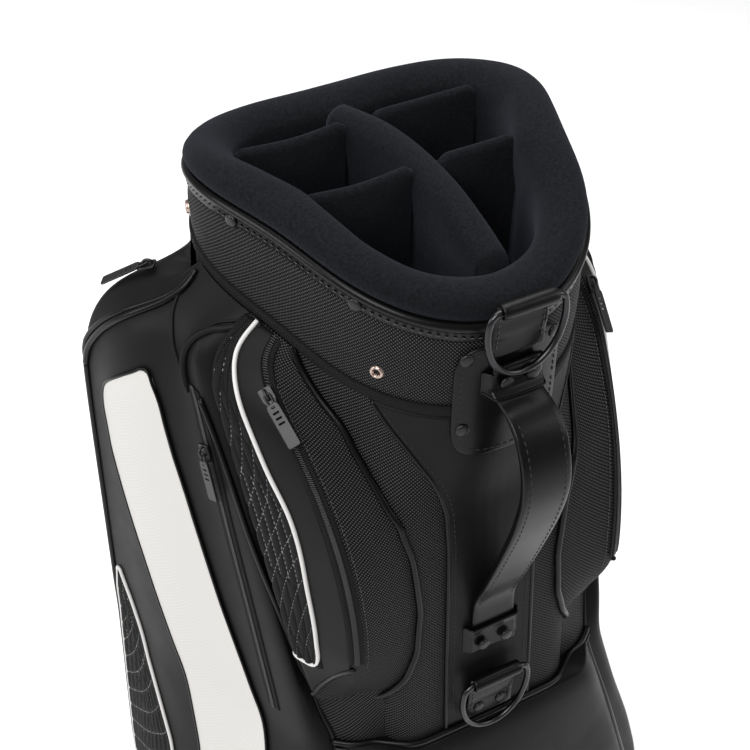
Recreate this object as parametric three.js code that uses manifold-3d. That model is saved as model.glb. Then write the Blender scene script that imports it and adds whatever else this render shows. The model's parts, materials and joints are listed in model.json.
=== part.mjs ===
// Golf staff bag in millimetres, +Z up, origin on the floor under the middle of the tube.
// -Y is the spine side with the carry handle, +Y the ball pocket side, X runs across the bag.
import * as THREE from 'three'
import Module from 'manifold-3d'

const GAP = 0.3                     // clearance between neighbouring pieces
const DEG = Math.PI / 180
const group = new THREE.Group()
group.name = 'golf_staff_bag'

const LOOKS = {
  leather: { color: 0x1b1a1a, roughness: 0.42, metalness: 0 },
  nylon: { color: 0x17171a, roughness: 0.7, metalness: 0 },
  velour: { color: 0x101217, roughness: 0.95, metalness: 0 },
  white: { color: 0xeceae6, roughness: 0.45, metalness: 0 },
  gunmetal: { color: 0x4a4a4c, roughness: 0.28, metalness: 1 },
  copper: { color: 0xb08d7d, roughness: 0.25, metalness: 1 },
  plastic: { color: 0x141414, roughness: 0.5, metalness: 0 },
}

function addPiece(name, geometry, look) {
  const mesh = new THREE.Mesh(geometry, new THREE.MeshStandardMaterial(LOOKS[look]))
  mesh.name = name
  group.add(mesh)
  return mesh
}

// ---- helpers -------------------------------------------------------------------------------
const mix = (a, b, t) => a + (b - a) * t
const mixPoint = (p, q, t) => p.map((value, i) => mix(value, q[i], t))
const clamp01 = (t) => Math.min(1, Math.max(0, t))
const smooth = (t) => clamp01(t) ** 2 * (3 - 2 * clamp01(t))
const range = (count) => [...Array(count).keys()]
const steps = (from, to, count) => range(count).map((i) => mix(from, to, i / (count - 1)))

// Reads a short list of [level, values...] rows, highest first, straight between the rows.
function readRow(rows, level) {
  const last = rows.length - 1
  if (level >= rows[0][0]) return rows[0].slice(1)
  if (level <= rows[last][0]) return rows[last].slice(1)
  const i = rows.findIndex((row) => row[0] < level)
  const t = (level - rows[i][0]) / (rows[i - 1][0] - rows[i][0])
  return mixPoint(rows[i].slice(1), rows[i - 1].slice(1), t)
}

// Rounds the corners [x, y, radius] of an outline. The ends of an open outline stay sharp.
function roundedOutline(corners, closed, arcSteps) {
  const count = corners.length
  return corners.flatMap(([x, y, radius], i) => {
    if (radius === 0 || (!closed && (i === 0 || i === count - 1))) return [[x, y]]
    const before = corners[(i + count - 1) % count]
    const after = corners[(i + 1) % count]
    const toBefore = new THREE.Vector2(before[0] - x, before[1] - y)
    const toAfter = new THREE.Vector2(after[0] - x, after[1] - y)
    const half = Math.acos(toBefore.dot(toAfter) / toBefore.length() / toAfter.length()) / 2
    const reach = Math.min(radius / Math.tan(half), toBefore.length() * 0.45, toAfter.length() * 0.45)
    const start = mixPoint([x, y], before, reach / toBefore.length())
    const end = mixPoint([x, y], after, reach / toAfter.length())
    return steps(0, 1, arcSteps).map((t) => mixPoint(mixPoint(start, [x, y], t), mixPoint([x, y], end, t), t))
  })
}

// Makes the geometry and turns its faces outwards if the rings ran the other way.
function indexed(positions, index) {
  const geometry = new THREE.BufferGeometry()
  geometry.setAttribute('position', new THREE.Float32BufferAttribute(positions, 3))
  const corner = (i) => new THREE.Vector3(...positions.slice(3 * i, 3 * i + 3))
  let volume = 0
  for (let i = 0; i < index.length; i += 3) {
    volume += corner(index[i]).dot(corner(index[i + 1]).cross(corner(index[i + 2])))
  }
  geometry.setIndex(volume > 0 ? index : index.slice().reverse())
  geometry.computeVertexNormals()
  return geometry
}

function joinRings(rings, ringIsLast) {
  const count = rings[0].length
  const index = []
  const spans = ringIsLast ? rings.length : rings.length - 1
  for (const r of range(spans)) {
    const here = r * count
    const next = ((r + 1) % rings.length) * count
    for (const i of range(count)) {
      const j = (i + 1) % count
      index.push(here + i, here + j, next + j, here + i, next + j, next + i)
    }
  }
  return index
}

// Triangles that fill a flat outline, wound the same way round as the outline itself.
function fillOutline(outline) {
  const points = outline.map(([x, y]) => new THREE.Vector2(x, y))
  const wound = Math.sign(THREE.ShapeUtils.area(points))
  return THREE.ShapeUtils.triangulateShape(points, []).map(([a, b, c]) => {
    const turn = Math.sign(THREE.ShapeUtils.area([points[a], points[b], points[c]]))
    return turn === wound ? [a, b, c] : [a, c, b]
  })
}

// Closes a stack of level outlines (lists of [x, y, z]) into one solid with flat-cut ends.
function stackRings(rings) {
  const last = (rings.length - 1) * rings[0].length
  const index = joinRings(rings, false)
  for (const [a, b, c] of fillOutline(rings[0])) index.push(c, b, a)
  for (const [a, b, c] of fillOutline(rings[rings.length - 1])) index.push(last + a, last + b, last + c)
  return indexed(rings.flat(2), index)
}

// Sweeps a closed profile around a closed loop.
const sweepLoop = (rings) => indexed(rings.flat(2), joinRings(rings, true))

// Sweeps a closed convex profile along an open path and caps both ends with fans.
function sweepPath(rings) {
  const count = rings[0].length
  const last = (rings.length - 1) * count
  const index = joinRings(rings, false)
  for (const i of range(count - 2)) {
    index.push(0, i + 2, i + 1, last, last + i + 1, last + i + 2)
  }
  return indexed(rings.flat(2), index)
}

// ---- solid cutting -------------------------------------------------------------------------
const solids = await Module()
solids.setup()
function toSolid(geometry) {
  const vertProperties = new Float32Array(geometry.attributes.position.array)
  const triVerts = new Uint32Array(geometry.index.array)
  const mesh = new solids.Mesh({ numProp: 3, vertProperties, triVerts })
  return new solids.Manifold(mesh)
}
function cutAway(geometry, tool) {
  const mesh = toSolid(geometry).subtract(toSolid(tool)).getMesh()
  return indexed([...mesh.vertProperties], [...mesh.triVerts])
}

// A copy turned by a matrix, with its faces outwards even if the matrix mirrors.
function moved(geometry, matrix) {
  const copy = geometry.clone().applyMatrix4(matrix)
  return indexed([...copy.attributes.position.array], [...copy.index.array])
}
const mirrored = (geometry) => moved(geometry, new THREE.Matrix4().makeScale(-1, 1, 1))

// ---- cuff and body shape -------------------------------------------------------------------
// Angles run from +Y towards +X, so the spine is at 180 degrees and the shown side at 270.
const CUFF = { mean: 142.7, oval: 5, lobes: -15, square: -5.3 }
const cuffRadius = (phi) => CUFF.mean + CUFF.oval * Math.cos(2 * phi) + CUFF.lobes * Math.cos(3 * phi)
  + CUFF.square * Math.cos(4 * phi)
const around = (phi, radius, z) => [radius * Math.sin(phi), radius * Math.cos(phi), z]

const RIM_TOP = 889                 // highest point of the padded rim
const RIM_CENTRE_Y = 15             // the rim arches like a saddle about this line
const RIM_ARCH = 390                // radius of that arch
const rimHeight = (phi) => RIM_TOP - (cuffRadius(phi) * Math.cos(phi) - RIM_CENTRE_Y) ** 2 / (2 * RIM_ARCH)

// A level is a height that leans with the cuff's lower seam near the top and is plain z lower down.
const SEAM_LEVEL = 778
const SEAM_SLOPE = 0.22
const LEAN_STARTS = 560
const LEAN_FULL = 745
const leanAt = (level) => SEAM_SLOPE * smooth((level - LEAN_STARTS) / (LEAN_FULL - LEAN_STARTS))
const place = (x, y, level) => [x, y, level + y * leanAt(level)]

const SPINE_FLARE_ENDS = 397        // below this the body is plumb
const spineDepth = (level) => 154 + (609 - Math.max(level, SPINE_FLARE_ENDS)) * 0.072
const bodyCorners = (level) => {
  const half = [[80, -spineDepth(level), 35], [148, -60, 45], [150, 95, 60], [70, 148, 60]]
  return [...half, ...half.slice().reverse().map(([x, y, r]) => [-x, y, r])]
}
const bodyOutlines = new Map()
function outlineRadius(phi, level) {
  if (!bodyOutlines.has(level)) bodyOutlines.set(level, roundedOutline(bodyCorners(level), true, 7))
  const outline = bodyOutlines.get(level)
  const dir = [Math.sin(phi), Math.cos(phi)]
  let radius = 0
  outline.forEach((p, i) => {
    const q = outline[(i + 1) % outline.length]
    const edge = [q[0] - p[0], q[1] - p[1]]
    const cross = dir[0] * edge[1] - dir[1] * edge[0]
    const along = (p[0] * edge[1] - p[1] * edge[0]) / cross
    const t = (p[0] * dir[1] - p[1] * dir[0]) / cross
    if (along > 0 && t >= -1e-9 && t <= 1 + 1e-9) radius = Math.max(radius, along)
  })
  return radius
}
const FLARE_LENGTH = 90             // the body swells from the cuff's outline over this height
const CROWN = 1.4                   // each of the body's four faces is slightly crowned
const bodyRadius = (phi, level) => mix(outlineRadius(phi, level) + CROWN * Math.cos(2 * phi) ** 2,
  cuffRadius(phi) + 2, smooth((level - LEAN_FULL + FLARE_LENGTH) / FLARE_LENGTH))

const STOPS = 48
const stopAngles = range(STOPS).map((i) => i * 2 * Math.PI / STOPS)

// Ring pieces of the cuff: the profile is [offset from the cuff outline, height from the rim].
function rimRing(profile) {
  return sweepLoop(stopAngles.map((phi) =>
    profile.map(([offset, drop]) => around(phi, cuffRadius(phi) + offset, rimHeight(phi) + drop))))
}

const TUBE_OUT = -6                 // tube wall, measured from the cuff outline
const TUBE_IN = -9.5
const BASE_TOP = 30
addPiece('club_tube', sweepLoop(stopAngles.map((phi) => {
  const top = rimHeight(phi) - 22.6
  return [[TUBE_OUT, BASE_TOP], [TUBE_OUT, top], [TUBE_IN, top], [TUBE_IN, BASE_TOP]]
    .map(([offset, z]) => around(phi, cuffRadius(phi) + offset, z))
})), 'plastic')

const COVER_BOTTOM = 56.3
const BODY_LEVELS = [SEAM_LEVEL - GAP, 752, 735, 712, 690, 665, 640, 610, 575, 521, 447, 397, 250,
  COVER_BOTTOM]
addPiece('body_cover', sweepLoop(stopAngles.map((phi) => {
  const outer = BODY_LEVELS.map((level) => {
    const [x, y] = around(phi, bodyRadius(phi, level), 0)
    return place(x, y, level)
  })
  const inner = [COVER_BOTTOM, SEAM_LEVEL - GAP].map((level) => {
    const [x, y] = around(phi, cuffRadius(phi) + TUBE_OUT + GAP, 0)
    return place(x, y, level)
  })
  return [...outer, ...inner]
})), 'nylon')

// What is sewn on the body is cut to this slightly larger copy of it.
const BODY_CLEARANCE = 0.6
const ENVELOPE_TOP = 806
const ENVELOPE_FOOT = 40
const envelopeRing = (level) => stopAngles.map((phi) => {
  const [x, y] = around(phi, bodyRadius(phi, level) + BODY_CLEARANCE, 0)
  return place(x, y, level)
})
const envelope = stackRings([ENVELOPE_TOP, ...BODY_LEVELS, ENVELOPE_FOOT].map(envelopeRing))
const fitToBody = (geometry) => cutAway(geometry, envelope)

// Moulded base: a tray whose rim the tube stands in, with four feet drawn into the floor edge.
const BASE_SKIRT = 56

function sweepLoopTray() {
  const tray = (phi) => {
    const wide = bodyRadius(phi, 60)
    const tube = cuffRadius(phi) + TUBE_OUT + GAP
    const profile = [[wide - 4, 0], [wide + 3, 6], [wide + 4, BASE_SKIRT], [tube, BASE_SKIRT],
      [tube, BASE_TOP - GAP], [cuffRadius(phi) * 0.5, BASE_TOP - GAP]]
    return profile.map(([radius, z]) => around(phi, radius, z))
  }
  const rings = stopAngles.map(tray)
  const count = rings[0].length
  const index = []
  for (const r of range(STOPS)) {
    const next = (r + 1) % STOPS
    for (const i of range(count - 1)) {
      index.push(r * count + i, next * count + i, next * count + i + 1)
      index.push(r * count + i, next * count + i + 1, r * count + i + 1)
    }
  }
  const floorCentre = STOPS * count
  const topCentre = floorCentre + 1
  for (const r of range(STOPS)) {
    const next = (r + 1) % STOPS
    index.push(floorCentre, next * count, r * count)
    index.push(topCentre, r * count + count - 1, next * count + count - 1)
  }
  return indexed([...rings.flat(2), 0, 0, 0, 0, 0, BASE_TOP - GAP], index)
}

const HEM_HEIGHT = 9
const BINDING_DROP = -39.7
const HEM_OUT = 5.5
// A place on the cuff at this level, which leans as the lower seam does.
function leaning(phi, offset, level) {
  const [x, y] = around(phi, cuffRadius(phi) + offset, 0)
  return place(x, y, level)
}
const HEM_SECTION = [[TUBE_OUT + GAP, SEAM_LEVEL], [HEM_OUT, SEAM_LEVEL],
  [HEM_OUT, SEAM_LEVEL + HEM_HEIGHT], [TUBE_OUT + GAP, SEAM_LEVEL + HEM_HEIGHT]]
addPiece('cuff_hem', sweepLoop(stopAngles.map((phi) =>
  HEM_SECTION.map(([offset, level]) => leaning(phi, offset, level)))), 'nylon')
addPiece('cuff_band', sweepLoop(stopAngles.map((phi) => {
  const foot = SEAM_LEVEL + HEM_HEIGHT + GAP
  const low = [TUBE_OUT + GAP, 4].map((offset) => leaning(phi, offset, foot))
  const high = [4, TUBE_OUT + GAP].map((offset) =>
    around(phi, cuffRadius(phi) + offset, rimHeight(phi) + BINDING_DROP - GAP))
  return [...low, ...high]
})), 'nylon')
// Sections of the rim's rings: [out from the cuff, up from the rim's crest].
const BINDING_SECTION = [[-5.7, BINDING_DROP], [5.8, BINDING_DROP], [6, -32], [7.9, -30], [8.6, -27.4],
  [7.4, -24.2], [4, -22.6], [-5.7, -22.6]]
const COLLAR_SECTION = [[-9.8, -22.3], [4, -22.3], [7.2, -17], [6, -8.5], [1, -3], [-6, -0.5], [-13, 0],
  [-20, -1.5], [-27, -6], [-31.5, -15], [-31.5, -34], [-24, -80], [-22, -150], [-9.8, -150]]
addPiece('rim_binding', rimRing(BINDING_SECTION), 'leather')
addPiece('velour_collar', rimRing(COLLAR_SECTION), 'velour')

addPiece('base_pan', sweepLoopTray(), 'plastic')

// ---- dividers ------------------------------------------------------------------------------
const DIVIDER_FOOT = 30
const DIVIDER_TOP_DROP = 14
const saddle = (y) => RIM_TOP - (y - RIM_CENTRE_Y) ** 2 / (2 * RIM_ARCH)
const CENTRE_PATH = [[8, -119], [10, -80], [12, -40], [11, 0], [6, 40], [-2, 72], [-6, 88]]
const PAD_HALF = 14
const PAD_DEPTH = 80
const CORE_HALF = 4
function centreProfile(y) {
  const top = saddle(y) - DIVIDER_TOP_DROP
  const half = [[0, 0], [7, -1.8], [12, -7], [PAD_HALF, -16], [PAD_HALF - 2, -45], [CORE_HALF, -PAD_DEPTH]]
  const right = half.map(([side, drop]) => [side, top + drop])
  const left = half.slice(1).reverse().map(([side, drop]) => [-side, top + drop])
  return [...right, [CORE_HALF, DIVIDER_FOOT], [-CORE_HALF, DIVIDER_FOOT], ...left]
}
function centreSection([x, y], i) {
  const before = CENTRE_PATH[Math.max(0, i - 1)]
  const after = CENTRE_PATH[Math.min(CENTRE_PATH.length - 1, i + 1)]
  const along = new THREE.Vector2(after[0] - before[0], after[1] - before[1]).normalize()
  return centreProfile(y).map(([side, z]) => [x + along.y * side, y - along.x * side, z])
}
// The padded head is wider than the core, so the ends are cut with a proper triangulation.
function centreDivider() {
  const rings = CENTRE_PATH.map(centreSection)
  const last = (rings.length - 1) * rings[0].length
  const index = joinRings(rings, false)
  for (const [a, b, c] of fillOutline(centreProfile(CENTRE_PATH[0][1]))) {
    index.push(c, b, a, last + a, last + b, last + c)
  }
  return indexed(rings.flat(2), index)
}
addPiece('centre_divider', centreDivider(), 'velour')

const CROSS_HALF = 2.5
const WELL_PLAY = 2.4               // dividers stop this far short of their neighbours
const PAD_INSET = 31.5              // how far the padded rim reaches in from the cuff outline
const centreX = (y) => {
  const i = Math.max(1, CENTRE_PATH.findIndex(([, pathY]) => pathY > y))
  const [p, q] = [CENTRE_PATH[i - 1], CENTRE_PATH[i]]
  return mix(p[0], q[0], (y - p[1]) / (q[1] - p[1]))
}
// Distance along X from the middle to the padded rim at this Y.
function wellEdge(y) {
  const fits = (x) => Math.hypot(x, y) < cuffRadius(Math.atan2(x, y)) - PAD_INSET - 1.6
  return steps(140, 40, 401).find((x) => fits(x))
}
function addCrossDivider(name, y, side) {
  const inner = centreX(y) + side * (PAD_HALF + WELL_PLAY)
  const outer = side * wellEdge(y)
  const top = saddle(y) - DIVIDER_TOP_DROP - 2
  const box = new THREE.BoxGeometry(Math.abs(outer - inner), 2 * CROSS_HALF, top - DIVIDER_FOOT)
  box.translate((outer + inner) / 2, y, (top + DIVIDER_FOOT) / 2)
  addPiece(name, box, 'velour')
}
const FRONT_ROW_Y = 66
const REAR_ROW_Y = -16
addCrossDivider('cross_divider_front_left', FRONT_ROW_Y, -1)
addCrossDivider('cross_divider_front_right', FRONT_ROW_Y, 1)
addCrossDivider('cross_divider_rear_left', REAR_ROW_Y, -1)
addCrossDivider('cross_divider_rear_right', REAR_ROW_Y, 1)

// ---- leather on the spine ------------------------------------------------------------------
// A leather plate lying on the body between two angles that change with level.
function bodyPlate(levels, edgesAt, inner, outer, samples) {
  return stackRings(levels.map((level) => {
    const [from, to] = edgesAt(level)
    const at = (offset, angles) => angles.map((phi) => {
      const [x, y] = around(phi, bodyRadius(phi, level) + offset, 0)
      return place(x, y, level)
    })
    const angles = steps(from, to, samples)
    return [...at(outer, angles), ...at(inner, angles.slice().reverse())]
  }))
}
const SPINE = 180 * DEG
const PANEL_WIDTHS = [[778, 38], [760, 33], [735, 25.5], [712, 20.5], [690, 17.5], [665, 15.5], [610, 14.4],
  [397, 13.6]]
const PANEL_LEVELS = [402, 447, 521, 575, 610, 640, 665, 690, 712, 735, 752, SEAM_LEVEL - 1]
const PANEL_THICK = 2.7
addPiece('spine_panel', fitToBody(bodyPlate(PANEL_LEVELS, (level) => {
  const half = readRow(PANEL_WIDTHS, level)[0] * DEG
  return [SPINE - half, SPINE + half]
}, -2, PANEL_THICK, 11)), 'leather')

// The patch bridges the cuff and the spine panel: rows are [height, half width].
const PATCH_ROWS = [[808, 24], [800, 36], [790, 44], [770, 46], [735, 46], [718, 43], [709, 34], [705, 22]]
const PATCH_IN = 6.1
const PATCH_OUT = 8.2
function cuffPlate(rows, inner, outer, samples) {
  return stackRings(rows.slice().reverse().map(([z, half]) => {
    const reach = half / (cuffRadius(SPINE) + outer)
    const at = (offset, angles) => angles.map((phi) => around(phi, cuffRadius(phi) + offset, z))
    const angles = steps(SPINE - reach, SPINE + reach, samples)
    return [...at(outer, angles), ...at(inner, angles.slice().reverse())]
  }))
}
addPiece('spine_patch', cuffPlate(PATCH_ROWS, PATCH_IN, PATCH_OUT, 9), 'leather')
const patchFace = -(cuffRadius(SPINE) + PATCH_OUT)
const panelFace = (z) => -(spineDepth(z) + CROWN + PANEL_THICK)

// Carry handle: a flat strap bowed out from the spine, rows are [y, z] of its middle.
const STRAP_HALF = 20
const STRAP_THICK = 4.4
const strapRest = STRAP_THICK / 2 + GAP
// The strap's middle line, [y, z]: out of the top keeper, round its bow, and down into the bottom keeper.
const HANDLE_PATH = [[patchFace - strapRest, 791], [patchFace - strapRest, 780],
  [patchFace - strapRest - 0.9, 772.5], [-176.5, 765], [-191, 760], [-205, 748], [-214.5, 727], [-217.5, 703],
  [-212, 671], [-197, 623], [-180, 575], [panelFace(540) - strapRest - 2.6, 543],
  [panelFace(520) - strapRest - 0.6, 520], [panelFace(505) - strapRest, 505],
  [panelFace(490) - strapRest, 490]]
function strapSection(curve, t) {
  const at = curve.getPoint(t)
  const tangent = curve.getTangent(t)
  const out = new THREE.Vector3(0, -tangent.z, tangent.y).normalize()
  const half = STRAP_THICK / 2
  const edge = half * 0.4
  const flat = STRAP_HALF - 1.5
  const profile = [[-STRAP_HALF, -edge], [-flat, -half], [flat, -half], [STRAP_HALF, -edge],
    [STRAP_HALF, edge], [flat, half], [-flat, half], [-STRAP_HALF, edge]]
  return profile.map(([x, n]) => [x, at.y + out.y * n, at.z + out.z * n])
}
const handlePoints = HANDLE_PATH.map(([y, z]) => new THREE.Vector3(0, y, z))
const handleCurve = new THREE.CatmullRomCurve3(handlePoints, false, 'centripetal')
addPiece('carry_handle', sweepPath(steps(0, 1, 40).map((t) => strapSection(handleCurve, t))), 'leather')

// Leather keepers arch over the strap's ends. Rows are [z, lift of the arch, depth the feet wrap back].
function keeper(faceAt, rows) {
  return stackRings(rows.map(([z, lift, wrap]) => {
    const face = faceAt(z)
    const over = STRAP_THICK + 4 * GAP + lift
    const outer = [[29, wrap], [25, wrap - 3.6], [22.4, -over - 1.9]]
    const inner = [[20.8, -over], [25.6, wrap - 0.9]]
    const across = (points) => points.map(([x, depth]) => [-x, depth]).reverse()
    const outline = [...outer, ...across(outer), ...across(inner), ...inner]
    return outline.map(([x, depth]) => [x, face + depth, z])
  }))
}
const CUFF_WRAP = 2.2               // the cuff falls back this far at the keeper's feet
const PANEL_WRAP = -0.4
addPiece('handle_keeper_top', keeper(() => patchFace,
  [[768, 7, CUFF_WRAP], [771.5, 1.9, CUFF_WRAP], [774, 0.6, CUFF_WRAP], [784, 0, CUFF_WRAP]]), 'leather')
addPiece('handle_keeper_bottom', keeper(panelFace,
  [[486, 0, PANEL_WRAP], [507, 0.3, PANEL_WRAP], [514, 2, PANEL_WRAP]]), 'leather')

// ---- D-rings and their loops ---------------------------------------------------------------
const RING_WIRE = 2.6
const RING_BORE = 3.2
const SLEEVE_OUT = 6.4
const SLEEVE_HALF = 23
const TAIL_THICK = 2.2
const TAIL_STEP = 1.2               // the tail stands off where it passes the rim binding
const UPPER_BAR = { y: -176.2, z: 848 }
const LOWER_BAR = { y: -181.5, z: 456 }
function ringLoop(bar, face, tailEnd) {
  const outline = new THREE.Shape()
  const tail = face - GAP
  outline.moveTo(tail - bar.y, tailEnd - bar.z)
  outline.lineTo(tail - bar.y, -34)
  outline.lineTo(tail - TAIL_STEP - bar.y, -27)
  outline.lineTo(tail - TAIL_STEP - bar.y, -12)
  for (const a of steps(0, 270, 10)) {
    outline.lineTo(SLEEVE_OUT * Math.cos(a * DEG), SLEEVE_OUT * Math.sin(a * DEG))
  }
  outline.lineTo(tail - TAIL_THICK - TAIL_STEP - bar.y, -14)
  outline.lineTo(tail - TAIL_THICK - TAIL_STEP - bar.y, -28)
  outline.lineTo(tail - TAIL_THICK - bar.y, -35)
  outline.lineTo(tail - TAIL_THICK - bar.y, tailEnd - bar.z)
  const bore = new THREE.Path()
  bore.absarc(0, 0, RING_BORE, 0, 2 * Math.PI, true)
  outline.holes.push(bore)
  const extent = { depth: 2 * SLEEVE_HALF, bevelEnabled: false, curveSegments: 7 }
  const geometry = new THREE.ExtrudeGeometry(outline, extent)
  geometry.translate(0, 0, -SLEEVE_HALF)
  const turned = new THREE.Matrix4().set(0, 0, 1, 0, 1, 0, 0, bar.y, 0, 1, 0, bar.z, 0, 0, 0, 1)
  geometry.applyMatrix4(turned)
  return geometry
}
addPiece('upper_ring_loop', ringLoop(UPPER_BAR, patchFace, 800), 'leather')
addPiece('lower_ring_loop', ringLoop(LOWER_BAR, panelFace(405), 405), 'leather')

const RING_ROUTE = [[0, 0], [14, 0], [25, -0.4], [30, -4], [32.4, -13], [31.8, -27], [26, -44], [14, -56.5],
  [0, -60.5]]
function ringGeometry() {
  const half = RING_ROUTE.slice(1, -1).map(([x, z]) => [-x, z]).reverse()
  const points = [...RING_ROUTE, ...half].map(([x, z]) => new THREE.Vector3(x, 0, z))
  const curve = new THREE.CatmullRomCurve3(points, true, 'centripetal')
  return new THREE.TubeGeometry(curve, 34, RING_WIRE, 7, true)
}
for (const [name, bar] of [['upper_ring', UPPER_BAR], ['lower_ring', LOWER_BAR]]) {
  addPiece(name, ringGeometry(), 'gunmetal').position.set(0, bar.y, bar.z)
}

// ---- rivets and studs ----------------------------------------------------------------------
const RIVET = [[0, 0], [5, 0], [4.8, 1.1], [3.4, 2], [0, 2.5]]
const STUD = [[0, 0], [8.6, 0], [8.6, 1.4], [5.6, 2.2], [5.2, 5.4], [2.4, 5.4], [2, 4], [0, 4]]
// Turns a profile of [radius, height] into a solid and points it outwards at the angle phi.
function addTurned(name, profile, look, [x, y, z], phi) {
  const outline = profile.map(([r, h]) => new THREE.Vector2(r, h))
  const mesh = addPiece(name, new THREE.LatheGeometry(outline, 14), look)
  mesh.position.set(x, y, z)
  mesh.rotation.z = -phi
}
function onCuff(phi, z, offset) {
  return around(phi, cuffRadius(phi) + offset, z)
}
// The angle the cuff's surface faces at phi.
function cuffFacing(phi) {
  const [x0, y0] = onCuff(phi - 0.01, 0, 0)
  const [x1, y1] = onCuff(phi + 0.01, 0, 0)
  return Math.atan2(-(y1 - y0), x1 - x0)
}
function addOnCuff(name, profile, look, phi, z, offset) {
  addTurned(name, profile, look, onCuff(phi, z, offset), cuffFacing(phi))
}
const PATCH_RIVETS = [[38, 799], [38, 733]]
PATCH_RIVETS.forEach(([x, z], row) => {
  for (const side of [-1, 1]) {
    const phi = SPINE - side * x / (cuffRadius(SPINE) + PATCH_OUT)
    addOnCuff(`patch_rivet_${row === 0 ? 'high' : 'low'}_${side < 0 ? 'left' : 'right'}`, RIVET, 'gunmetal',
      phi, z, PATCH_OUT + 2 * GAP)
  }
})
const KEEPER_SKIN = STRAP_THICK + 4 * GAP + 1.9
const KEEPER_RIVET_X = 11
for (const side of [-1, 1]) {
  const hand = side < 0 ? 'left' : 'right'
  const x = side * KEEPER_RIVET_X
  const top = [x, patchFace - KEEPER_SKIN - 3 * GAP, 779]
  const bottom = [x, panelFace(494) - KEEPER_SKIN - 2 * GAP, 495]
  const loop = [x, panelFace(405) - 2.2 - 2 * GAP, 415]
  addTurned(`handle_rivet_top_${hand}`, RIVET, 'gunmetal', top, SPINE)
  addTurned(`handle_rivet_bottom_${hand}`, RIVET, 'gunmetal', bottom, SPINE)
  addTurned(`ring_loop_rivet_${hand}`, RIVET, 'gunmetal', loop, SPINE)
}
const RIM_RIVET_DROP = -36.5
const RIM_RIVET_ANGLES = { rear: 223 * DEG, side: 272 * DEG }
for (const [spot, phi] of Object.entries(RIM_RIVET_ANGLES)) {
  addOnCuff(`rim_rivet_${spot}`, RIVET, 'gunmetal', phi, rimHeight(phi) + RIM_RIVET_DROP, 6 + 2 * GAP)
}
const HOOD_STUDS = { rear: [216 * DEG, 780], side: [299 * DEG, 822] }
for (const [spot, [phi, z]] of Object.entries(HOOD_STUDS)) {
  addOnCuff(`hood_stud_${spot}`, STUD, 'copper', phi, z, 4 + 2 * GAP)
}

// ---- pockets -------------------------------------------------------------------------------
const BACK_DEPTH = -14              // pocket backs start inside the body and are cut to fit it
// A pocket outline at one level: the back follows the body from one angle to the other, the
// front is a rounded line of corners [x, y, radius].
function pocketRing(level, fromAngle, toAngle, corners, backStops, arcSteps) {
  const angles = steps(fromAngle * DEG, toAngle * DEG, backStops)
  const line = (depth) => angles.map((phi) => around(phi, bodyRadius(phi, level) + depth, 0).slice(0, 2))
  const back = line(BACK_DEPTH)
  const feet = line(0)
  const front = roundedOutline([[...back[0], 0], [...feet[0], 0], ...corners, [...feet[backStops - 1], 0],
    [...back[backStops - 1], 0]], false, arcSteps)
  return [...front, ...back.slice(1, -1).reverse()].map(([x, y]) => place(x, y, level))
}
function addPair(name, geometry, look, fit = (same) => same) {
  addPiece(`${name}_left`, fit(geometry), look)
  addPiece(`${name}_right`, fit(mirrored(geometry)), look)
}

// Garment pocket, left side. Its spine-side edge runs straight down and towards the spine.
const EDGE_TOP = [-181, -6, 742]
const EDGE_LOW = [-152, -135, 410]
const onEdge = (z) => mixPoint(EDGE_LOW, EDGE_TOP, (z - EDGE_LOW[2]) / (EDGE_TOP[2] - EDGE_LOW[2]))
const edgeAtLevel = (level) => {
  let z = level
  range(6).forEach(() => { z = level + onEdge(z)[1] * leanAt(level) })
  return onEdge(z)
}
// Its front edge is a quarter circle at the shoulder and plumb below.
const SHOULDER = { x: -150, y: 78, z: 672, radius: 96, alongX: -0.814, alongY: 0.581 }
function frontEdge(level) {
  const rise = Math.max(0, level + 20 - SHOULDER.z)
  const reach = Math.sqrt(Math.max(0, SHOULDER.radius ** 2 - Math.min(rise, SHOULDER.radius) ** 2))
  return [SHOULDER.x + SHOULDER.alongX * reach, SHOULDER.y + SHOULDER.alongY * reach]
}
const GARMENT_TOP = 771
const GARMENT_LEVELS = [60, 90, 168, 240, 300, 385, 410, 447, 472, 521, 575, 610, 640, 665, 690, 712, 735,
  752, GARMENT_TOP]
const LOW_EDGE = [[410, -152, -135], [385, -150, -139], [300, -176, -146], [240, -199, -148],
  [168, -222, -145], [90, -225, -140], [60, -218, -134]]
const LOW_PIPING = [[410, -129, -131], [385, -131, -140], [300, -155, -156], [240, -174, -156],
  [168, -199, -152], [90, -202, -148], [60, -195, -142]]
const LOW_FRONT = [[385, -227, 134], [168, -224, 140], [90, -221, 138], [60, -213, 130]]
const DIVIDE_ANGLE = [[771, 257], [735, 256], [690, 254], [640, 250], [575, 246], [521, 241], [470, 236],
  [447, 231], [410, 226], [385, 224], [60, 222]]
const GARMENT_FRONT_ANGLE = 316
const BULGE = 13
const FLAT_PART = 0.2               // the strip beside the spine-side edge carries the zip and is flat
function garmentCorners(level) {
  const edge = level >= 410 ? edgeAtLevel(level) : readRow(LOW_EDGE, level)
  const front = level >= 385 ? frontEdge(level) : readRow(LOW_FRONT, level)
  return { edge: [edge[0], edge[1]], front }
}
function garmentFace(level, t, offset) {
  const { edge, front } = garmentCorners(level)
  const length = Math.hypot(front[0] - edge[0], front[1] - edge[1])
  const normal = [-(front[1] - edge[1]) / length, (front[0] - edge[0]) / length]
  const out = offset + BULGE * Math.sin(Math.PI * clamp01((t - FLAT_PART) / (1 - FLAT_PART))) ** 2
  return [mix(edge[0], front[0], t) + normal[0] * out, mix(edge[1], front[1], t) + normal[1] * out]
}
const FACE_STOPS = steps(0.1, 0.9, 9)
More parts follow.
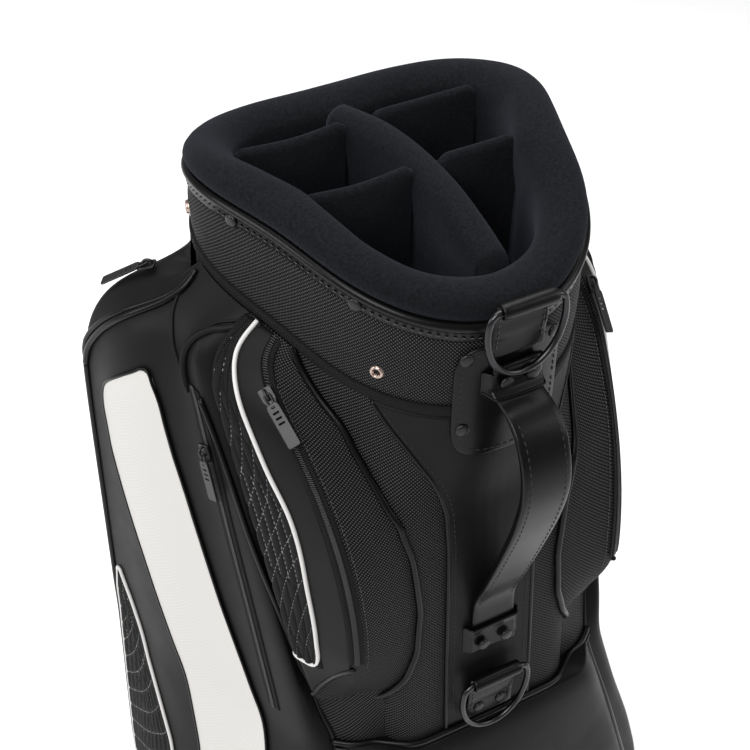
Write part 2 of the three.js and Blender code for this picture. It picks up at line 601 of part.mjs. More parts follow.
const garmentRings = GARMENT_LEVELS.map((level) => {
  const from = readRow(DIVIDE_ANGLE, level)[0] + 0.5
  if (level === GARMENT_TOP) {
    const yoke = steps(0, 1, 9).map((t) => {
      const [x, y] = onCuff((268 + 38 * t) * DEG, 0, 12 + 6 * Math.sin(Math.PI * t))
      return [x, y, 0]
    })
    const corners = [[-131, -24, 0], [-139, -17, 5], ...yoke, [-126, 112, 6]]
    return pocketRing(level, from, GARMENT_FRONT_ANGLE, corners, 8, 4)
  }
  const { edge, front } = garmentCorners(level)
  const piping = level > 410 ? null : readRow(LOW_PIPING, level)
  const foot = around(from * DEG, bodyRadius(from * DEG, level), 0)
  const side = piping ?? [mix(foot[0], edge[0], 0.6), mix(foot[1], edge[1], 0.6)]
  const face = FACE_STOPS.map((t) => [...garmentFace(level, t, 0), 0])
  return pocketRing(level, from, GARMENT_FRONT_ANGLE,
    [[...side, 0], [...edge, 11], ...face, [...front, 14]], 8, 4)
})
addPair('garment_pocket', stackRings(garmentRings), 'leather', fitToBody)

// A thin panel lying on the garment pocket's face: rows are [level, t from, t to].
const FACE_GAP = 1.5
function facePanel(rows, thick, samples) {
  return stackRings(rows.slice().reverse().map(([level, from, to]) => {
    const at = (offset, ts) => ts.map((t) => place(...garmentFace(level, t, offset), level))
    const ts = steps(from, to, samples)
    return [...at(FACE_GAP + thick, ts), ...at(FACE_GAP, ts.slice().reverse())]
  }))
}
const panelRows = (edges, levels) => levels.map((level) => [level, ...readRow(edges, level)])
const WHITE_EDGES = [[702, 0.43, 0.47], [698, 0.41, 0.5], [684, 0.38, 0.6], [664, 0.365, 0.72],
  [655, 0.36, 0.755], [640, 0.355, 0.775], [600, 0.335, 0.77], [500, 0.3, 0.66], [410, 0.25, 0.58],
  [300, 0.13, 0.45], [240, 0.11, 0.41], [130, 0.1, 0.38], [112, 0.12, 0.36], [104, 0.17, 0.31]]
const WHITE_LEVELS = [702, 698, 684, 664, 655, 640, 610, 575, 521, 480, 447, 410, 385, 340, 300, 240, 168,
  130, 112, 104]
addPair('white_panel', facePanel(panelRows(WHITE_EDGES, WHITE_LEVELS), 2, 7), 'white')
const SIDE_EDGES = [[432, 0.895, 0.91], [404, 0.84, 0.93], [348, 0.75, 0.94], [313, 0.67, 0.94],
  [275, 0.58, 0.94], [220, 0.52, 0.93], [96, 0.5, 0.9], [86, 0.56, 0.84]]
const SIDE_LEVELS = [432, 404, 385, 348, 313, 275, 240, 207, 168, 120, 96, 86]
addPair('side_panel', facePanel(panelRows(SIDE_EDGES, SIDE_LEVELS), 2, 5), 'nylon')

// Accessory pockets beside the spine: a curved ridge carries the zip, the foot is piped.
const RIDGE = { y: -165, z: 521, x: -127, radius: 273, slant: -0.188 }
function ridgeAt(z) {
  const rise = Math.max(0, z - RIDGE.z)
  const y = RIDGE.y + RIDGE.radius - Math.sqrt(RIDGE.radius ** 2 - rise ** 2)
  return [RIDGE.x + RIDGE.slant * (y - RIDGE.y), y]
}
function ridgeAtLevel(level) {
  let z = level
  range(6).forEach(() => { z = level + ridgeAt(z)[1] * leanAt(level) })
  return ridgeAt(z)
}
const RIDGE_FOOT = [[521, -127, -165], [497, -124, -158], [472, -115, -147], [450, -106, -138.5]]
const FOOT_ANGLE = [[771, 248], [752, 239], [735, 227], [698, 216], [665, 209], [617, 205], [553, 202.5],
  [506, 203], [475, 206], [450, 212]]
const ACCESSORY_LEVELS = [450, 472, 497, 521, 548, 575, 610, 640, 665, 690, 712, 735, 752, 771]
const EDGE_STRIP = 12
const accessoryRings = ACCESSORY_LEVELS.map((level) => {
  const from = readRow(FOOT_ANGLE, level)[0]
  const to = readRow(DIVIDE_ANGLE, level)[0] - 0.5
  if (level === 771) return pocketRing(level, from, to, [[-133, -44, 5], [-141, -27, 5]], 6, 6)
  const ridge = level > 521 ? ridgeAtLevel(level) : readRow(RIDGE_FOOT, level)
  const edge = edgeAtLevel(level).slice(0, 2)
  const length = Math.hypot(edge[0] - ridge[0], edge[1] - ridge[1])
  const end = mixPoint(edge, ridge, EDGE_STRIP / length)
  return pocketRing(level, from, to, [[...ridge, 9], [...end, 5]], 6, 6)
})
addPair('accessory_pocket', stackRings(accessoryRings), 'nylon', fitToBody)

// The wide pocket below the spine panel, between the two garment pockets.
const BACK_LEVELS = [62, 90, 168, 240, 300, 350, 385, 396]
const BACK_CORNERS = [[396, -112, -173, 1], [385, -116, -176, 5], [350, -130, -172, 13],
  [300, -146, -168, 20], [240, -166, -168, 24], [168, -190, -164, 25], [90, -194, -162, 23],
  [62, -186, -158, 20]]
addPiece('back_pocket', fitToBody(stackRings(BACK_LEVELS.map((level) => {
  const [x, y, crown] = readRow(BACK_CORNERS, level)
  const angle = mix(217.5, 214, clamp01((level - 350) / 46))
  const front = steps(-1, 1, 9).map((t) => [-t * x * 0.9, y - crown * (1 - t * t), 0])
  return pocketRing(level, 360 - angle, angle, [[-x, y, 6], ...front.reverse(), [x, y, 6]], 8, 3)
}))), 'leather')

// Ball pocket low on the front, and a smaller pocket above it.
const BALL_LEVELS = [60, 74, 110, 372, 400, 425, 440]
const BALL_CORNERS = [[440, -104, 168], [425, -128, 190], [400, -140, 202], [372, -146, 206],
  [110, -146, 206], [74, -138, 198], [60, -128, 188]]
const FRONT_CROWN = 12
function frontPocket(levels, corners, angle) {
  return fitToBody(stackRings(levels.map((level) => {
    const [x, y] = readRow(corners, level)
    const front = steps(-0.8, 0.8, 7).map((t) => [-t * x, y + FRONT_CROWN * (1 - t * t), 0])
    return pocketRing(level, angle, -angle, [[-x, y, 16], ...front.reverse(), [x, y, 16]], 8, 4)
  })))
}
addPiece('ball_pocket', frontPocket(BALL_LEVELS, BALL_CORNERS, 40), 'leather')
const CHEST_LEVELS = [456, 470, 560, 660, 720, 752]
const CHEST_CORNERS = [[752, -70, 142], [720, -88, 162], [660, -96, 172], [560, -98, 176], [470, -98, 176],
  [456, -90, 166]]
addPiece('chest_pocket', frontPocket(CHEST_LEVELS, CHEST_CORNERS, 38), 'nylon')

// ---- zips ----------------------------------------------------------------------------------
const vector = (p) => new THREE.Vector3(...p)
// A frame on a zip: down along the track, out of the face, and across.
function zipFrame(at, down, out) {
  const along = vector(down).normalize()
  const normal = vector(out).addScaledVector(along, -vector(out).dot(along)).normalize()
  const across = new THREE.Vector3().crossVectors(normal, along)
  return new THREE.Matrix4().makeBasis(along, across, normal).setPosition(vector(at))
}
const TRACK_HALF = 4
const TRACK_THICK = 1.4
function zipTrack(frames) {
  const profile = [[-TRACK_HALF, 0], [TRACK_HALF, 0], [TRACK_HALF, TRACK_THICK], [-TRACK_HALF, TRACK_THICK]]
  return sweepPath(frames.map((frame) => profile.map(([across, out]) =>
    new THREE.Vector3(0, across, out).applyMatrix4(frame).toArray())))
}
// Slider body with two lugs, profile [along, out] at each place across; the puller hangs between.
const SLIDER_HALF = 4.6
const LUG_TOP = 7.6
const LUG_GAP = 2.6                 // half the space between the lugs
const PIN = { along: -2, out: 6.4 }
function sliderGeometry() {
  const low = TRACK_THICK + GAP
  const block = (top) => [[-7, low], [6, low], [7.5, low + 1.2], [6.5, 4.2], [-0.5, top], [-5, top],
    [-7.5, 3.4]]
  const spots = [[-SLIDER_HALF, LUG_TOP], [-LUG_GAP, LUG_TOP], [-LUG_GAP + 0.1, 4.6],
    [LUG_GAP - 0.1, 4.6], [LUG_GAP, LUG_TOP], [SLIDER_HALF, LUG_TOP]]
  const rings = spots.map(([across, top]) => block(top).map(([along, out]) => [along, out, across]))
  return moved(stackRings(rings), new THREE.Matrix4().set(1, 0, 0, 0, 0, 0, 1, 0, 0, 1, 0, 0, 0, 0, 0, 1))
}
const PULLER_LENGTH = 44
const PULLER_ROWS = [[-1.2, 1.6], [5, 1.9], [9, 3.4], [12, 4.4], [PULLER_LENGTH - 2, 4.6],
  [PULLER_LENGTH, 3.6]]
const PULLER_THICK = 1.8
function pullerGeometry() {
  const face = PULLER_THICK / 2
  const rings = PULLER_ROWS.map(([along, half]) =>
    [[along, -half, -face], [along, half, -face], [along, half, face], [along, -half, face]])
  return sweepPath(rings)
}
function addZip(name, frame, droop = 0) {
  const slider = addPiece(`zip_slider_${name}`, sliderGeometry(), 'gunmetal')
  slider.applyMatrix4(frame)
  const puller = addPiece(`zip_puller_${name}`, pullerGeometry(), 'gunmetal')
  puller.applyMatrix4(frame.clone()
    .multiply(new THREE.Matrix4().makeTranslation(PIN.along, 0, PIN.out))
    .multiply(new THREE.Matrix4().makeRotationY(droop)))
}

// Garment pocket zip: straight, on the flat strip beside the spine-side edge.
const GARMENT_TRACK = { high: [704, 0.105], low: [430, 0.158] }
const onGarment = ([level, t], offset) => place(...garmentFace(level, t, offset), level)
const trackHigh = onGarment(GARMENT_TRACK.high, GAP)
const trackLow = onGarment(GARMENT_TRACK.low, GAP)
const garmentDown = vector(trackLow).sub(vector(trackHigh)).toArray()
const GARMENT_OUT = [-0.96, -0.281, 0]
const TRACK_LIFT = 1.2
const garmentTrackAt = (t) => vector(mixPoint(trackHigh, trackLow, t))
  .addScaledVector(vector(GARMENT_OUT), TRACK_LIFT).toArray()
const garmentZipAt = (t) => zipFrame(garmentTrackAt(t), garmentDown, GARMENT_OUT)
addPiece('zip_track_garment_left', zipTrack([0, 1].map(garmentZipAt)), 'nylon')
const GARMENT_REST = 0.15
addZip('garment_left', garmentZipAt(GARMENT_REST))

// Accessory zips: the track is the ridge's circular arc.
const RIDGE_PLANE = new THREE.Vector3(RIDGE.slant, 1, 0).normalize()   // towards the arc's centre
const RIDGE_RADIUS = RIDGE.radius
const RIDGE_LIFT = -0.9             // the ridge is rounded, so its skin lies inside its corner line
const RIDGE_TILT = 37 * DEG         // the zip faces half way between the gusset and the pocket's face
const RIDGE_ASIDE = new THREE.Vector3(-1, RIDGE.slant, 0).normalize()
const UP = new THREE.Vector3(0, 0, 1)
// A level direction times one number plus the upward direction times another.
const blended = (level, a, b) => level.clone().multiplyScalar(a).addScaledVector(UP, b)
function ridgeFrame(side, angle) {
  const radial = blended(RIDGE_PLANE, -Math.cos(angle), Math.sin(angle))
  const out = radial.clone().multiplyScalar(Math.cos(RIDGE_TILT))
  out.addScaledVector(RIDGE_ASIDE, Math.sin(RIDGE_TILT))
  const down = blended(RIDGE_PLANE, -Math.sin(angle), -Math.cos(angle))
  const centre = vector([RIDGE.x, RIDGE.y, RIDGE.z]).addScaledVector(RIDGE_PLANE, RIDGE_RADIUS)
  const at = centre.addScaledVector(radial, RIDGE_RADIUS).addScaledVector(out, RIDGE_LIFT)
  const turn = new THREE.Vector3(side, 1, 1)
  return zipFrame(at.multiply(turn).toArray(), down.multiply(turn).toArray(), out.multiply(turn).toArray())
}
const RIDGE_ANGLES = { top: 55 * DEG, rest: 52 * DEG, bottom: 2 * DEG }
for (const [hand, side] of [['left', 1], ['right', -1]]) {
  addPiece(`zip_track_accessory_${hand}`, zipTrack(steps(RIDGE_ANGLES.top, RIDGE_ANGLES.bottom, 16)
    .map((angle) => ridgeFrame(side, angle))), 'nylon')
  addZip(`accessory_${hand}`, ridgeFrame(side, RIDGE_ANGLES.rest))
}

// Shoulder zip of the garment pocket: rides the quarter circle of the front edge.
const SHOULDER_DIR = new THREE.Vector3(SHOULDER.alongX, SHOULDER.alongY, 0)
function shoulderFrame(angle) {
  const out = blended(SHOULDER_DIR, Math.cos(angle), Math.sin(angle))
  const down = blended(SHOULDER_DIR, Math.sin(angle), -Math.cos(angle))
  const at = vector([SHOULDER.x, SHOULDER.y, SHOULDER.z]).addScaledVector(out, SHOULDER.radius)
  return zipFrame(at.toArray(), down.toArray(), out.toArray())
}
const SHOULDER_DROOP = 5 * DEG      // this puller leans down on the front of its slider
addZip('shoulder_left', shoulderFrame(72 * DEG), SHOULDER_DROOP)

// Ball pocket zip: straight down the front face near its right edge.
const BALL_ZIP = { x: 100, z: 358, lift: -0.8 }
const BALL_FACE_FALL = 0.11         // the crowned face turns away by this slope there
const BALL_FACE = { half: 146, y: 206 }
const ballFaceY = BALL_FACE.y + FRONT_CROWN * (1 - (BALL_ZIP.x / BALL_FACE.half) ** 2)
const ballZipAt = [BALL_ZIP.x, ballFaceY + BALL_ZIP.lift, BALL_ZIP.z]
addZip('ball_pocket', zipFrame(ballZipAt, [0, 0, -1], [BALL_FACE_FALL, 1, 0]))

export default group
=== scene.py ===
import json
import math

import bpy
import numpy as np
from mathutils import Matrix, Vector


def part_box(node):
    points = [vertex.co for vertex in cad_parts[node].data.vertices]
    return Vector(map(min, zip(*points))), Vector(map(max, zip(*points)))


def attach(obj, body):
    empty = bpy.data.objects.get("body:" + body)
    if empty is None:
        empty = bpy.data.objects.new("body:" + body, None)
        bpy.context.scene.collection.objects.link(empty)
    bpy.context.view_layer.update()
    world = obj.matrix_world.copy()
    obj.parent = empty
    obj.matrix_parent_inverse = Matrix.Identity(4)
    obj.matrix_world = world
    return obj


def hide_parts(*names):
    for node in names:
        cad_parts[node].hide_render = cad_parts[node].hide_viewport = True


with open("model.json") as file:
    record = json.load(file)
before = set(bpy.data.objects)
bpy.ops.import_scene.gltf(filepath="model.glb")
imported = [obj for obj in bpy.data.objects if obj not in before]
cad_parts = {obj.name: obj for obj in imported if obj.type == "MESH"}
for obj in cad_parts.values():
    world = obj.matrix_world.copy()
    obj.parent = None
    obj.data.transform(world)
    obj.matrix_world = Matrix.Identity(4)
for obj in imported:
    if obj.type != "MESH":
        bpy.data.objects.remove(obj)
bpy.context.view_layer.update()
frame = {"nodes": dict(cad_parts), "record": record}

MM = 0.001
DEG = math.pi / 180


# ---- small maths ---------------------------------------------------------------------------
def mix(a, b, t):
    return a + (b - a) * t


def smooth(t):
    t = np.clip(t, 0, 1)
    return t * t * (3 - 2 * t)


def rows_at(rows, level):
    """Reads rows of [level, values...], highest first, straight between the rows."""
    table = np.array(rows, float)[::-1]
    return [float(np.interp(level, table[:, 0], table[:, k])) for k in range(1, table.shape[1])]


def unit(v):
    v = np.asarray(v, float)
    return v / max(np.linalg.norm(v), 1e-9)


def lengths_along(points):
    """How far along a path each of its points lies."""
    return np.concatenate([[0], np.cumsum(np.linalg.norm(np.diff(points, axis=0), axis=1))])


def directions(path):
    """The unit tangent at each point of a path."""
    tangents = np.gradient(path, axis=0)
    return tangents / np.linalg.norm(tangents, axis=1, keepdims=True)


def up_to(a, b, count):
    """Places from a towards b, without b itself."""
    return [mix(a, b, t) for t in np.linspace(0, 1, count)[:-1]]


def on_from(a, b, count):
    """Places from just after a up to b."""
    return [mix(a, b, t) for t in np.linspace(0, 1, count)[1:]]


def squared_wave(wave, power):
    """A sine or cosine pressed towards a square wave when the power is under 1."""
    return np.sign(wave) * np.abs(wave) ** power


def resample(points, count, closed=False):
    """Points spread evenly along a smooth curve through the given points."""
    points = np.array(points, float)
    if closed:
        points = np.vstack([points, points[:1]])
    steps = np.sqrt(np.maximum(np.linalg.norm(np.diff(points, axis=0), axis=1), 1e-6))
    knots = np.concatenate([[0], np.cumsum(steps)])
    tangents = np.gradient(points, knots, axis=0)
    if closed:
        ends = (points[1] - points[-2]) / (knots[1] + knots[-1] - knots[-2])
        tangents[0] = tangents[-1] = ends
    fine = []
    for i in range(len(points) - 1):
        h = knots[i + 1] - knots[i]
        t = np.linspace(0, 1, 24, endpoint=False)[:, None]
        near, far = 2 * t ** 3 - 3 * t ** 2 + 1, 3 * t ** 2 - 2 * t ** 3
        leave, arrive = (t ** 3 - 2 * t ** 2 + t) * h, (t ** 3 - t ** 2) * h
        fine.append(near * points[i] + leave * tangents[i] + far * points[i + 1] + arrive * tangents[i + 1])
    fine = np.vstack(fine + [points[-1:]])
    along = lengths_along(fine)
    wanted = np.linspace(0, along[-1], count, endpoint=not closed)
    return np.stack([np.interp(wanted, along, fine[:, k]) for k in range(points.shape[1])], axis=1)


def rounded_outline(corners, closed, arc_steps):
    """Rounds the corners [x, y, radius]; the ends of an open outline stay sharp."""
    out = []
    count = len(corners)
    for i, (x, y, radius) in enumerate(corners):
        here = np.array([x, y], float)
        if radius == 0 or (not closed and i in (0, count - 1)):
            out.append(here)
            continue
        to_before = np.array(corners[i - 1][:2], float) - here
        to_after = np.array(corners[(i + 1) % count][:2], float) - here
        before, after = np.linalg.norm(to_before), np.linalg.norm(to_after)
        half = math.acos(np.clip(to_before @ to_after / before / after, -1, 1)) / 2
        reach = min(radius / math.tan(half), before * 0.45, after * 0.45)
        start, end = here + to_before * reach / before, here + to_after * reach / after
        for t in np.linspace(0, 1, arc_steps):
            out.append(mix(mix(start, here, t), mix(here, end, t), t))
    return np.array(out)


# ---- the bag's shape, in millimetres, the same formulas as the CAD part -----------------------
def cuff_radius(phi):
    """The cuff is a rounded triangle: a mean radius and three waves round it."""
    return 142.7 + 5 * np.cos(2 * phi) - 15 * np.cos(3 * phi) - 5.3 * np.cos(4 * phi)


def around(phi, radius, z):
    return np.array([radius * math.sin(phi), radius * math.cos(phi), z])


RIM_TOP = 889
RIM_CENTRE_Y = 15
RIM_ARCH = 390


def saddle(y):
    return RIM_TOP - (y - RIM_CENTRE_Y) ** 2 / (2 * RIM_ARCH)


def rim_height(phi):
    return saddle(cuff_radius(phi) * math.cos(phi))


SEAM_LEVEL = 778
SEAM_SLOPE = 0.22
LEAN_FROM, LEAN_SPAN = 560, 185


def lean_at(level):
    """How steeply a level rises away from the handle: flat below, as steep as the cuff's seam at the top."""
    return SEAM_SLOPE * smooth((level - LEAN_FROM) / LEAN_SPAN)


def place(x, y, level):
    """Stands a place of the plan on its level, which rises away from the handle near the top."""
    return np.array([x, y, level + y * float(lean_at(level))])


SPINE_DEPTH, SPINE_LEVEL, SPINE_SLOPE = 154, 609, 0.072
PANEL_FOOT = 397


def spine_depth(level):
    return SPINE_DEPTH + (SPINE_LEVEL - max(level, PANEL_FOOT)) * SPINE_SLOPE


def densify(ring, pieces):
    """Splits every side of a closed outline into equal pieces."""
    after = np.roll(ring, -1, axis=0)
    parts = [mix(ring, after, k / pieces)[:, None] for k in range(pieces)]
    return np.concatenate(parts, axis=1).reshape(-1, 2)


outline_cache = {}


def outline_radius(phi, level):
    """The body's outline at one level, read by its angle; each level's outline is kept once made."""
    if level not in outline_cache:
        half = [[80, -spine_depth(level), 35], [148, -60, 45], [150, 95, 60], [70, 148, 60]]
        corners = half + [[-x, y, r] for x, y, r in reversed(half)]
        ring = densify(rounded_outline(corners, True, 12), 12)
        angle = np.unwrap(np.arctan2(ring[:, 0], ring[:, 1]))
        radius = np.hypot(ring[:, 0], ring[:, 1])
        order = np.argsort(angle % (2 * math.pi))
        outline_cache[level] = ((angle % (2 * math.pi))[order], radius[order])
    angles, radii = outline_cache[level]
    return float(np.interp(phi % (2 * math.pi), angles, radii, period=2 * math.pi))


CROWN = 1.4
NECK_FROM, NECK_SPAN = 655, 90


def body_radius(phi, level):
    flat = outline_radius(phi, level) + CROWN * math.cos(2 * phi) ** 2
    return mix(flat, cuff_radius(phi) + 2, float(smooth((level - NECK_FROM) / NECK_SPAN)))


SPINE = math.pi

# garment pocket
SHOULDER = {"x": -150, "y": 78, "z": 672, "radius": 96, "dir": (-0.814, 0.581)}
EDGE_TOP = np.array([-181, -6, 742.0])
EDGE_LOW = np.array([-152, -135, 410.0])
LOW_EDGE = [[410, -152, -135], [385, -150, -139], [300, -176, -146], [240, -199, -148], [168, -222, -145],
            [90, -225, -140], [60, -218, -134]]
LOW_PIPING = [[410, -129, -131], [385, -131, -140], [300, -155, -156], [240, -174, -156], [168, -199, -152],
              [90, -202, -148], [60, -195, -142]]
LOW_FRONT = [[385, -227, 134], [168, -224, 140], [90, -221, 138], [60, -213, 130]]
DIVIDE_ANGLE = [[771, 257], [735, 256], [690, 254], [640, 250], [575, 246], [521, 241], [470, 236],
                [447, 231], [410, 226], [385, 224], [60, 222]]
GARMENT_FRONT_ANGLE = 316
BULGE = 13
FLAT_PART = 0.2
LEVEL_ROUNDS = 6                    # rounds that settle a height on its tilted level
SHOULDER_LIFT = 20


def edge_at_level(level):
    z = level
    for _ in range(LEVEL_ROUNDS):
        p = mix(EDGE_LOW, EDGE_TOP, (z - EDGE_LOW[2]) / (EDGE_TOP[2] - EDGE_LOW[2]))
        z = level + p[1] * lean_at(level)
    return p[:2]


def front_edge(level):
    rise = min(max(0, level + SHOULDER_LIFT - SHOULDER["z"]), SHOULDER["radius"])
    reach = math.sqrt(SHOULDER["radius"] ** 2 - rise ** 2)
    ahead = SHOULDER["dir"]
    return np.array([SHOULDER["x"] + ahead[0] * reach, SHOULDER["y"] + ahead[1] * reach])


def garment_corners(level):
    edge = edge_at_level(level) if level >= LOW_EDGE[0][0] else np.array(rows_at(LOW_EDGE, level))
    front = front_edge(level) if level >= LOW_FRONT[0][0] else np.array(rows_at(LOW_FRONT, level))
    return edge, front


def garment_face(level, t):
    """A place on the garment pocket's face, which bulges past its flat part."""
    edge, front = garment_corners(level)
    length = np.linalg.norm(front - edge)
    normal = np.array([-(front[1] - edge[1]), front[0] - edge[0]]) / length
    past = min(1, max(0, (t - FLAT_PART) / (1 - FLAT_PART)))
    return mix(edge, front, t) + normal * (BULGE * math.sin(math.pi * past) ** 2)


# accessory pocket
RIDGE = {"y": -165, "z": 521, "x": -127, "radius": 273, "slant": -0.188}
RIDGE_FOOT = [[521, -127, -165], [497, -124, -158], [472, -115, -147], [450, -106, -138.5]]
FOOT_ANGLE = [[771, 248], [752, 239], [735, 227], [698, 216], [665, 209], [617, 205], [553, 202.5],
              [506, 203], [475, 206], [450, 212]]
EDGE_STRIP = 12


def ridge_at(z):
    rise = max(0, z - RIDGE["z"])
    y = RIDGE["y"] + RIDGE["radius"] - math.sqrt(RIDGE["radius"] ** 2 - rise ** 2)
    return np.array([RIDGE["x"] + RIDGE["slant"] * (y - RIDGE["y"]), y])


def ridge_at_level(level):
    z = level
    for _ in range(LEVEL_ROUNDS):
        z = level + ridge_at(z)[1] * lean_at(level)
    return ridge_at(z)


# ---- building meshes -----------------------------------------------------------------------
def add_mesh(name, verts, faces, material, uvs=None):
    mesh = bpy.data.meshes.new(name)
    mesh.from_pydata([tuple(v) for v in np.asarray(verts, float) * MM], [], [tuple(f) for f in faces])
    mesh.update()
    if uvs is not None:
        layer = mesh.uv_layers.new(name="UVMap")
        flat_uv = np.array([uvs[loop.vertex_index] for loop in mesh.loops], np.float32).ravel()
        layer.data.foreach_set("uv", flat_uv)
    mesh.polygons.foreach_set("use_smooth", [True] * len(mesh.polygons))
    mesh.materials.append(material)
    obj = bpy.data.objects.new(name, mesh)
    bpy.context.scene.collection.objects.link(obj)
    return obj


def grid_faces(rows, cols, wrap_rows=False, wrap_cols=False, start=0):
    faces = []
    for r in range(rows if wrap_rows else rows - 1):
        for c in range(cols if wrap_cols else cols - 1):
            a = start + r * cols + c
            b = start + r * cols + (c + 1) % cols
            d = start + ((r + 1) % rows) * cols + c
            e = start + ((r + 1) % rows) * cols + (c + 1) % cols
            faces.append((a, b, e, d))
    return faces


def grid_uv(grid):
    """Texture coordinates in millimetres along the rows and down the columns."""
    across = np.cumsum(np.linalg.norm(np.diff(grid, axis=1, prepend=grid[:, :1]), axis=2), axis=1)
    down = np.cumsum(np.linalg.norm(np.diff(grid, axis=0, prepend=grid[:1]), axis=2), axis=0)
    across = across - across[:, across.shape[1] // 2][:, None]
    return np.stack([across, down], axis=2).reshape(-1, 2)


def add_grid(name, grid, material, wrap_cols=False):
    grid = np.asarray(grid, float)
    faces = grid_faces(*grid.shape[:2], wrap_cols=wrap_cols)
    return add_mesh(name, grid.reshape(-1, 3), faces, material, grid_uv(grid))


def add_bar(name, sections, material):
    """Closed sections joined along a bar, with flat ends."""
    grid = np.asarray(sections, float)
    rows, cols = grid.shape[:2]
    faces = grid_faces(rows, cols, wrap_cols=True)
    faces += [tuple(reversed(range(cols))), tuple(range((rows - 1) * cols, rows * cols))]
    return add_mesh(name, grid.reshape(-1, 3), faces, material)


def grid_normals(grid):
    du = np.gradient(grid, axis=1)
    dv = np.gradient(grid, axis=0)
    n = np.cross(du, dv)
    return n / np.maximum(np.linalg.norm(n, axis=2, keepdims=True), 1e-9)


def add_plate(name, grid, thick, material, side=1):
    """A sheet of real thickness: the grid is its inner face, side says which way it grows."""
    grid = np.asarray(grid, float)
    outer = grid + grid_normals(grid) * (thick * side)
    rows, cols = grid.shape[:2]
    verts = np.vstack([outer.reshape(-1, 3), grid.reshape(-1, 3)])
    count = rows * cols
    faces = grid_faces(rows, cols) + [tuple(reversed(f)) for f in grid_faces(rows, cols, start=count)]
    loop = ([(0, c) for c in range(cols)] + [(r, cols - 1) for r in range(1, rows)]
            + [(rows - 1, c) for c in range(cols - 2, -1, -1)] + [(r, 0) for r in range(rows - 2, 0, -1)])
    ids = [r * cols + c for r, c in loop]
    for i, a in enumerate(ids):
        b = ids[(i + 1) % len(ids)]
        faces.append((b, a, a + count, b + count))
    uv = np.vstack([grid_uv(grid), grid_uv(grid)])
    return add_mesh(name, verts, faces, material, uv)


def path_frames(points, closed=False):
    tangents = np.gradient(points, axis=0)
    if closed:
        tangents = np.roll(points, -1, axis=0) - np.roll(points, 1, axis=0)
    tangents /= np.maximum(np.linalg.norm(tangents, axis=1, keepdims=True), 1e-9)
    normal = np.cross(tangents[0], [0.3, 0.5, 0.8])
    normals = []
    for t in tangents:
        normal = unit(normal - t * (normal @ t))
        normals.append(normal)
    normals = np.array(normals)
    return tangents, normals, np.cross(tangents, normals)


def tube_parts(points, radius, sides, closed=False):
    """A tube along a path; its radius is one number or one for each point."""
    _, normals, binormals = path_frames(points, closed)
    turn = np.linspace(0, 2 * math.pi, sides, endpoint=False)
    ring = [p + r * (np.outer(np.cos(turn), n) + np.outer(np.sin(turn), b))
            for p, r, n, b in zip(points, np.broadcast_to(radius, len(points)), normals, binormals)]
    verts = np.vstack(ring)
    faces = [tuple(reversed(f)) for f in grid_faces(len(points), sides, wrap_rows=closed, wrap_cols=True)]
    if not closed:
        faces.append(tuple(range(sides)))
        faces.append(tuple(reversed(range(len(verts) - sides, len(verts)))))
    return verts, faces


def add_parts(name, parts, material):
    """Joins [vertices, faces] parts into one mesh."""
    verts, faces, count = [], [], 0
    for v, f in parts:
        verts.append(np.asarray(v, float))
        faces += [tuple(i + count for i in face) for face in f]
        count += len(v)
    return add_mesh(name, np.vstack(verts), faces, material)


def add_piping(name, points, radius, material, count, closed=False, sides=10):
    path = resample(points, count, closed)
    return add_parts(name, [tube_parts(path, radius, sides, closed)], material)


DASH_SWELL = np.array([0.35, 0.9, 1, 0.9, 0.35])
DASH_SIDES = 6


def stitch_parts(points, length, gap, width, closed=False):
    """Short thread dashes along a path; each is a little capsule."""
    dense = resample(points, max(40, len(points) * 12), closed)
    along = lengths_along(dense)
    parts = []
    start = gap
    while start + length < along[-1]:
        spots = np.linspace(start, start + length, len(DASH_SWELL))
        p = np.stack([np.interp(spots, along, dense[:, k]) for k in range(3)], axis=1)
        parts.append(tube_parts(p, width * DASH_SWELL, DASH_SIDES))
        start += length + gap
    return parts


def smooth_rows(grid, passes):
    """Evens a grid out down its columns; the first and last rows stay."""
    grid = grid.copy()
    for _ in range(passes):
        grid[1:-1] = grid[1:-1] * 0.5 + (grid[:-2] + grid[2:]) * 0.25
    return grid


def mirror(grid):
    return np.asarray(grid, float) * [-1, 1, 1]


def ride(obj, body, slot, *nodes):
    """Gives a piece its moving body and hides the CAD nodes it stands for; slot is not used."""
    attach(obj, body)
    if nodes:
        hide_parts(*nodes)
    return obj


def on_bag(obj, slot, *nodes):
    return ride(obj, "bag", slot, *nodes)


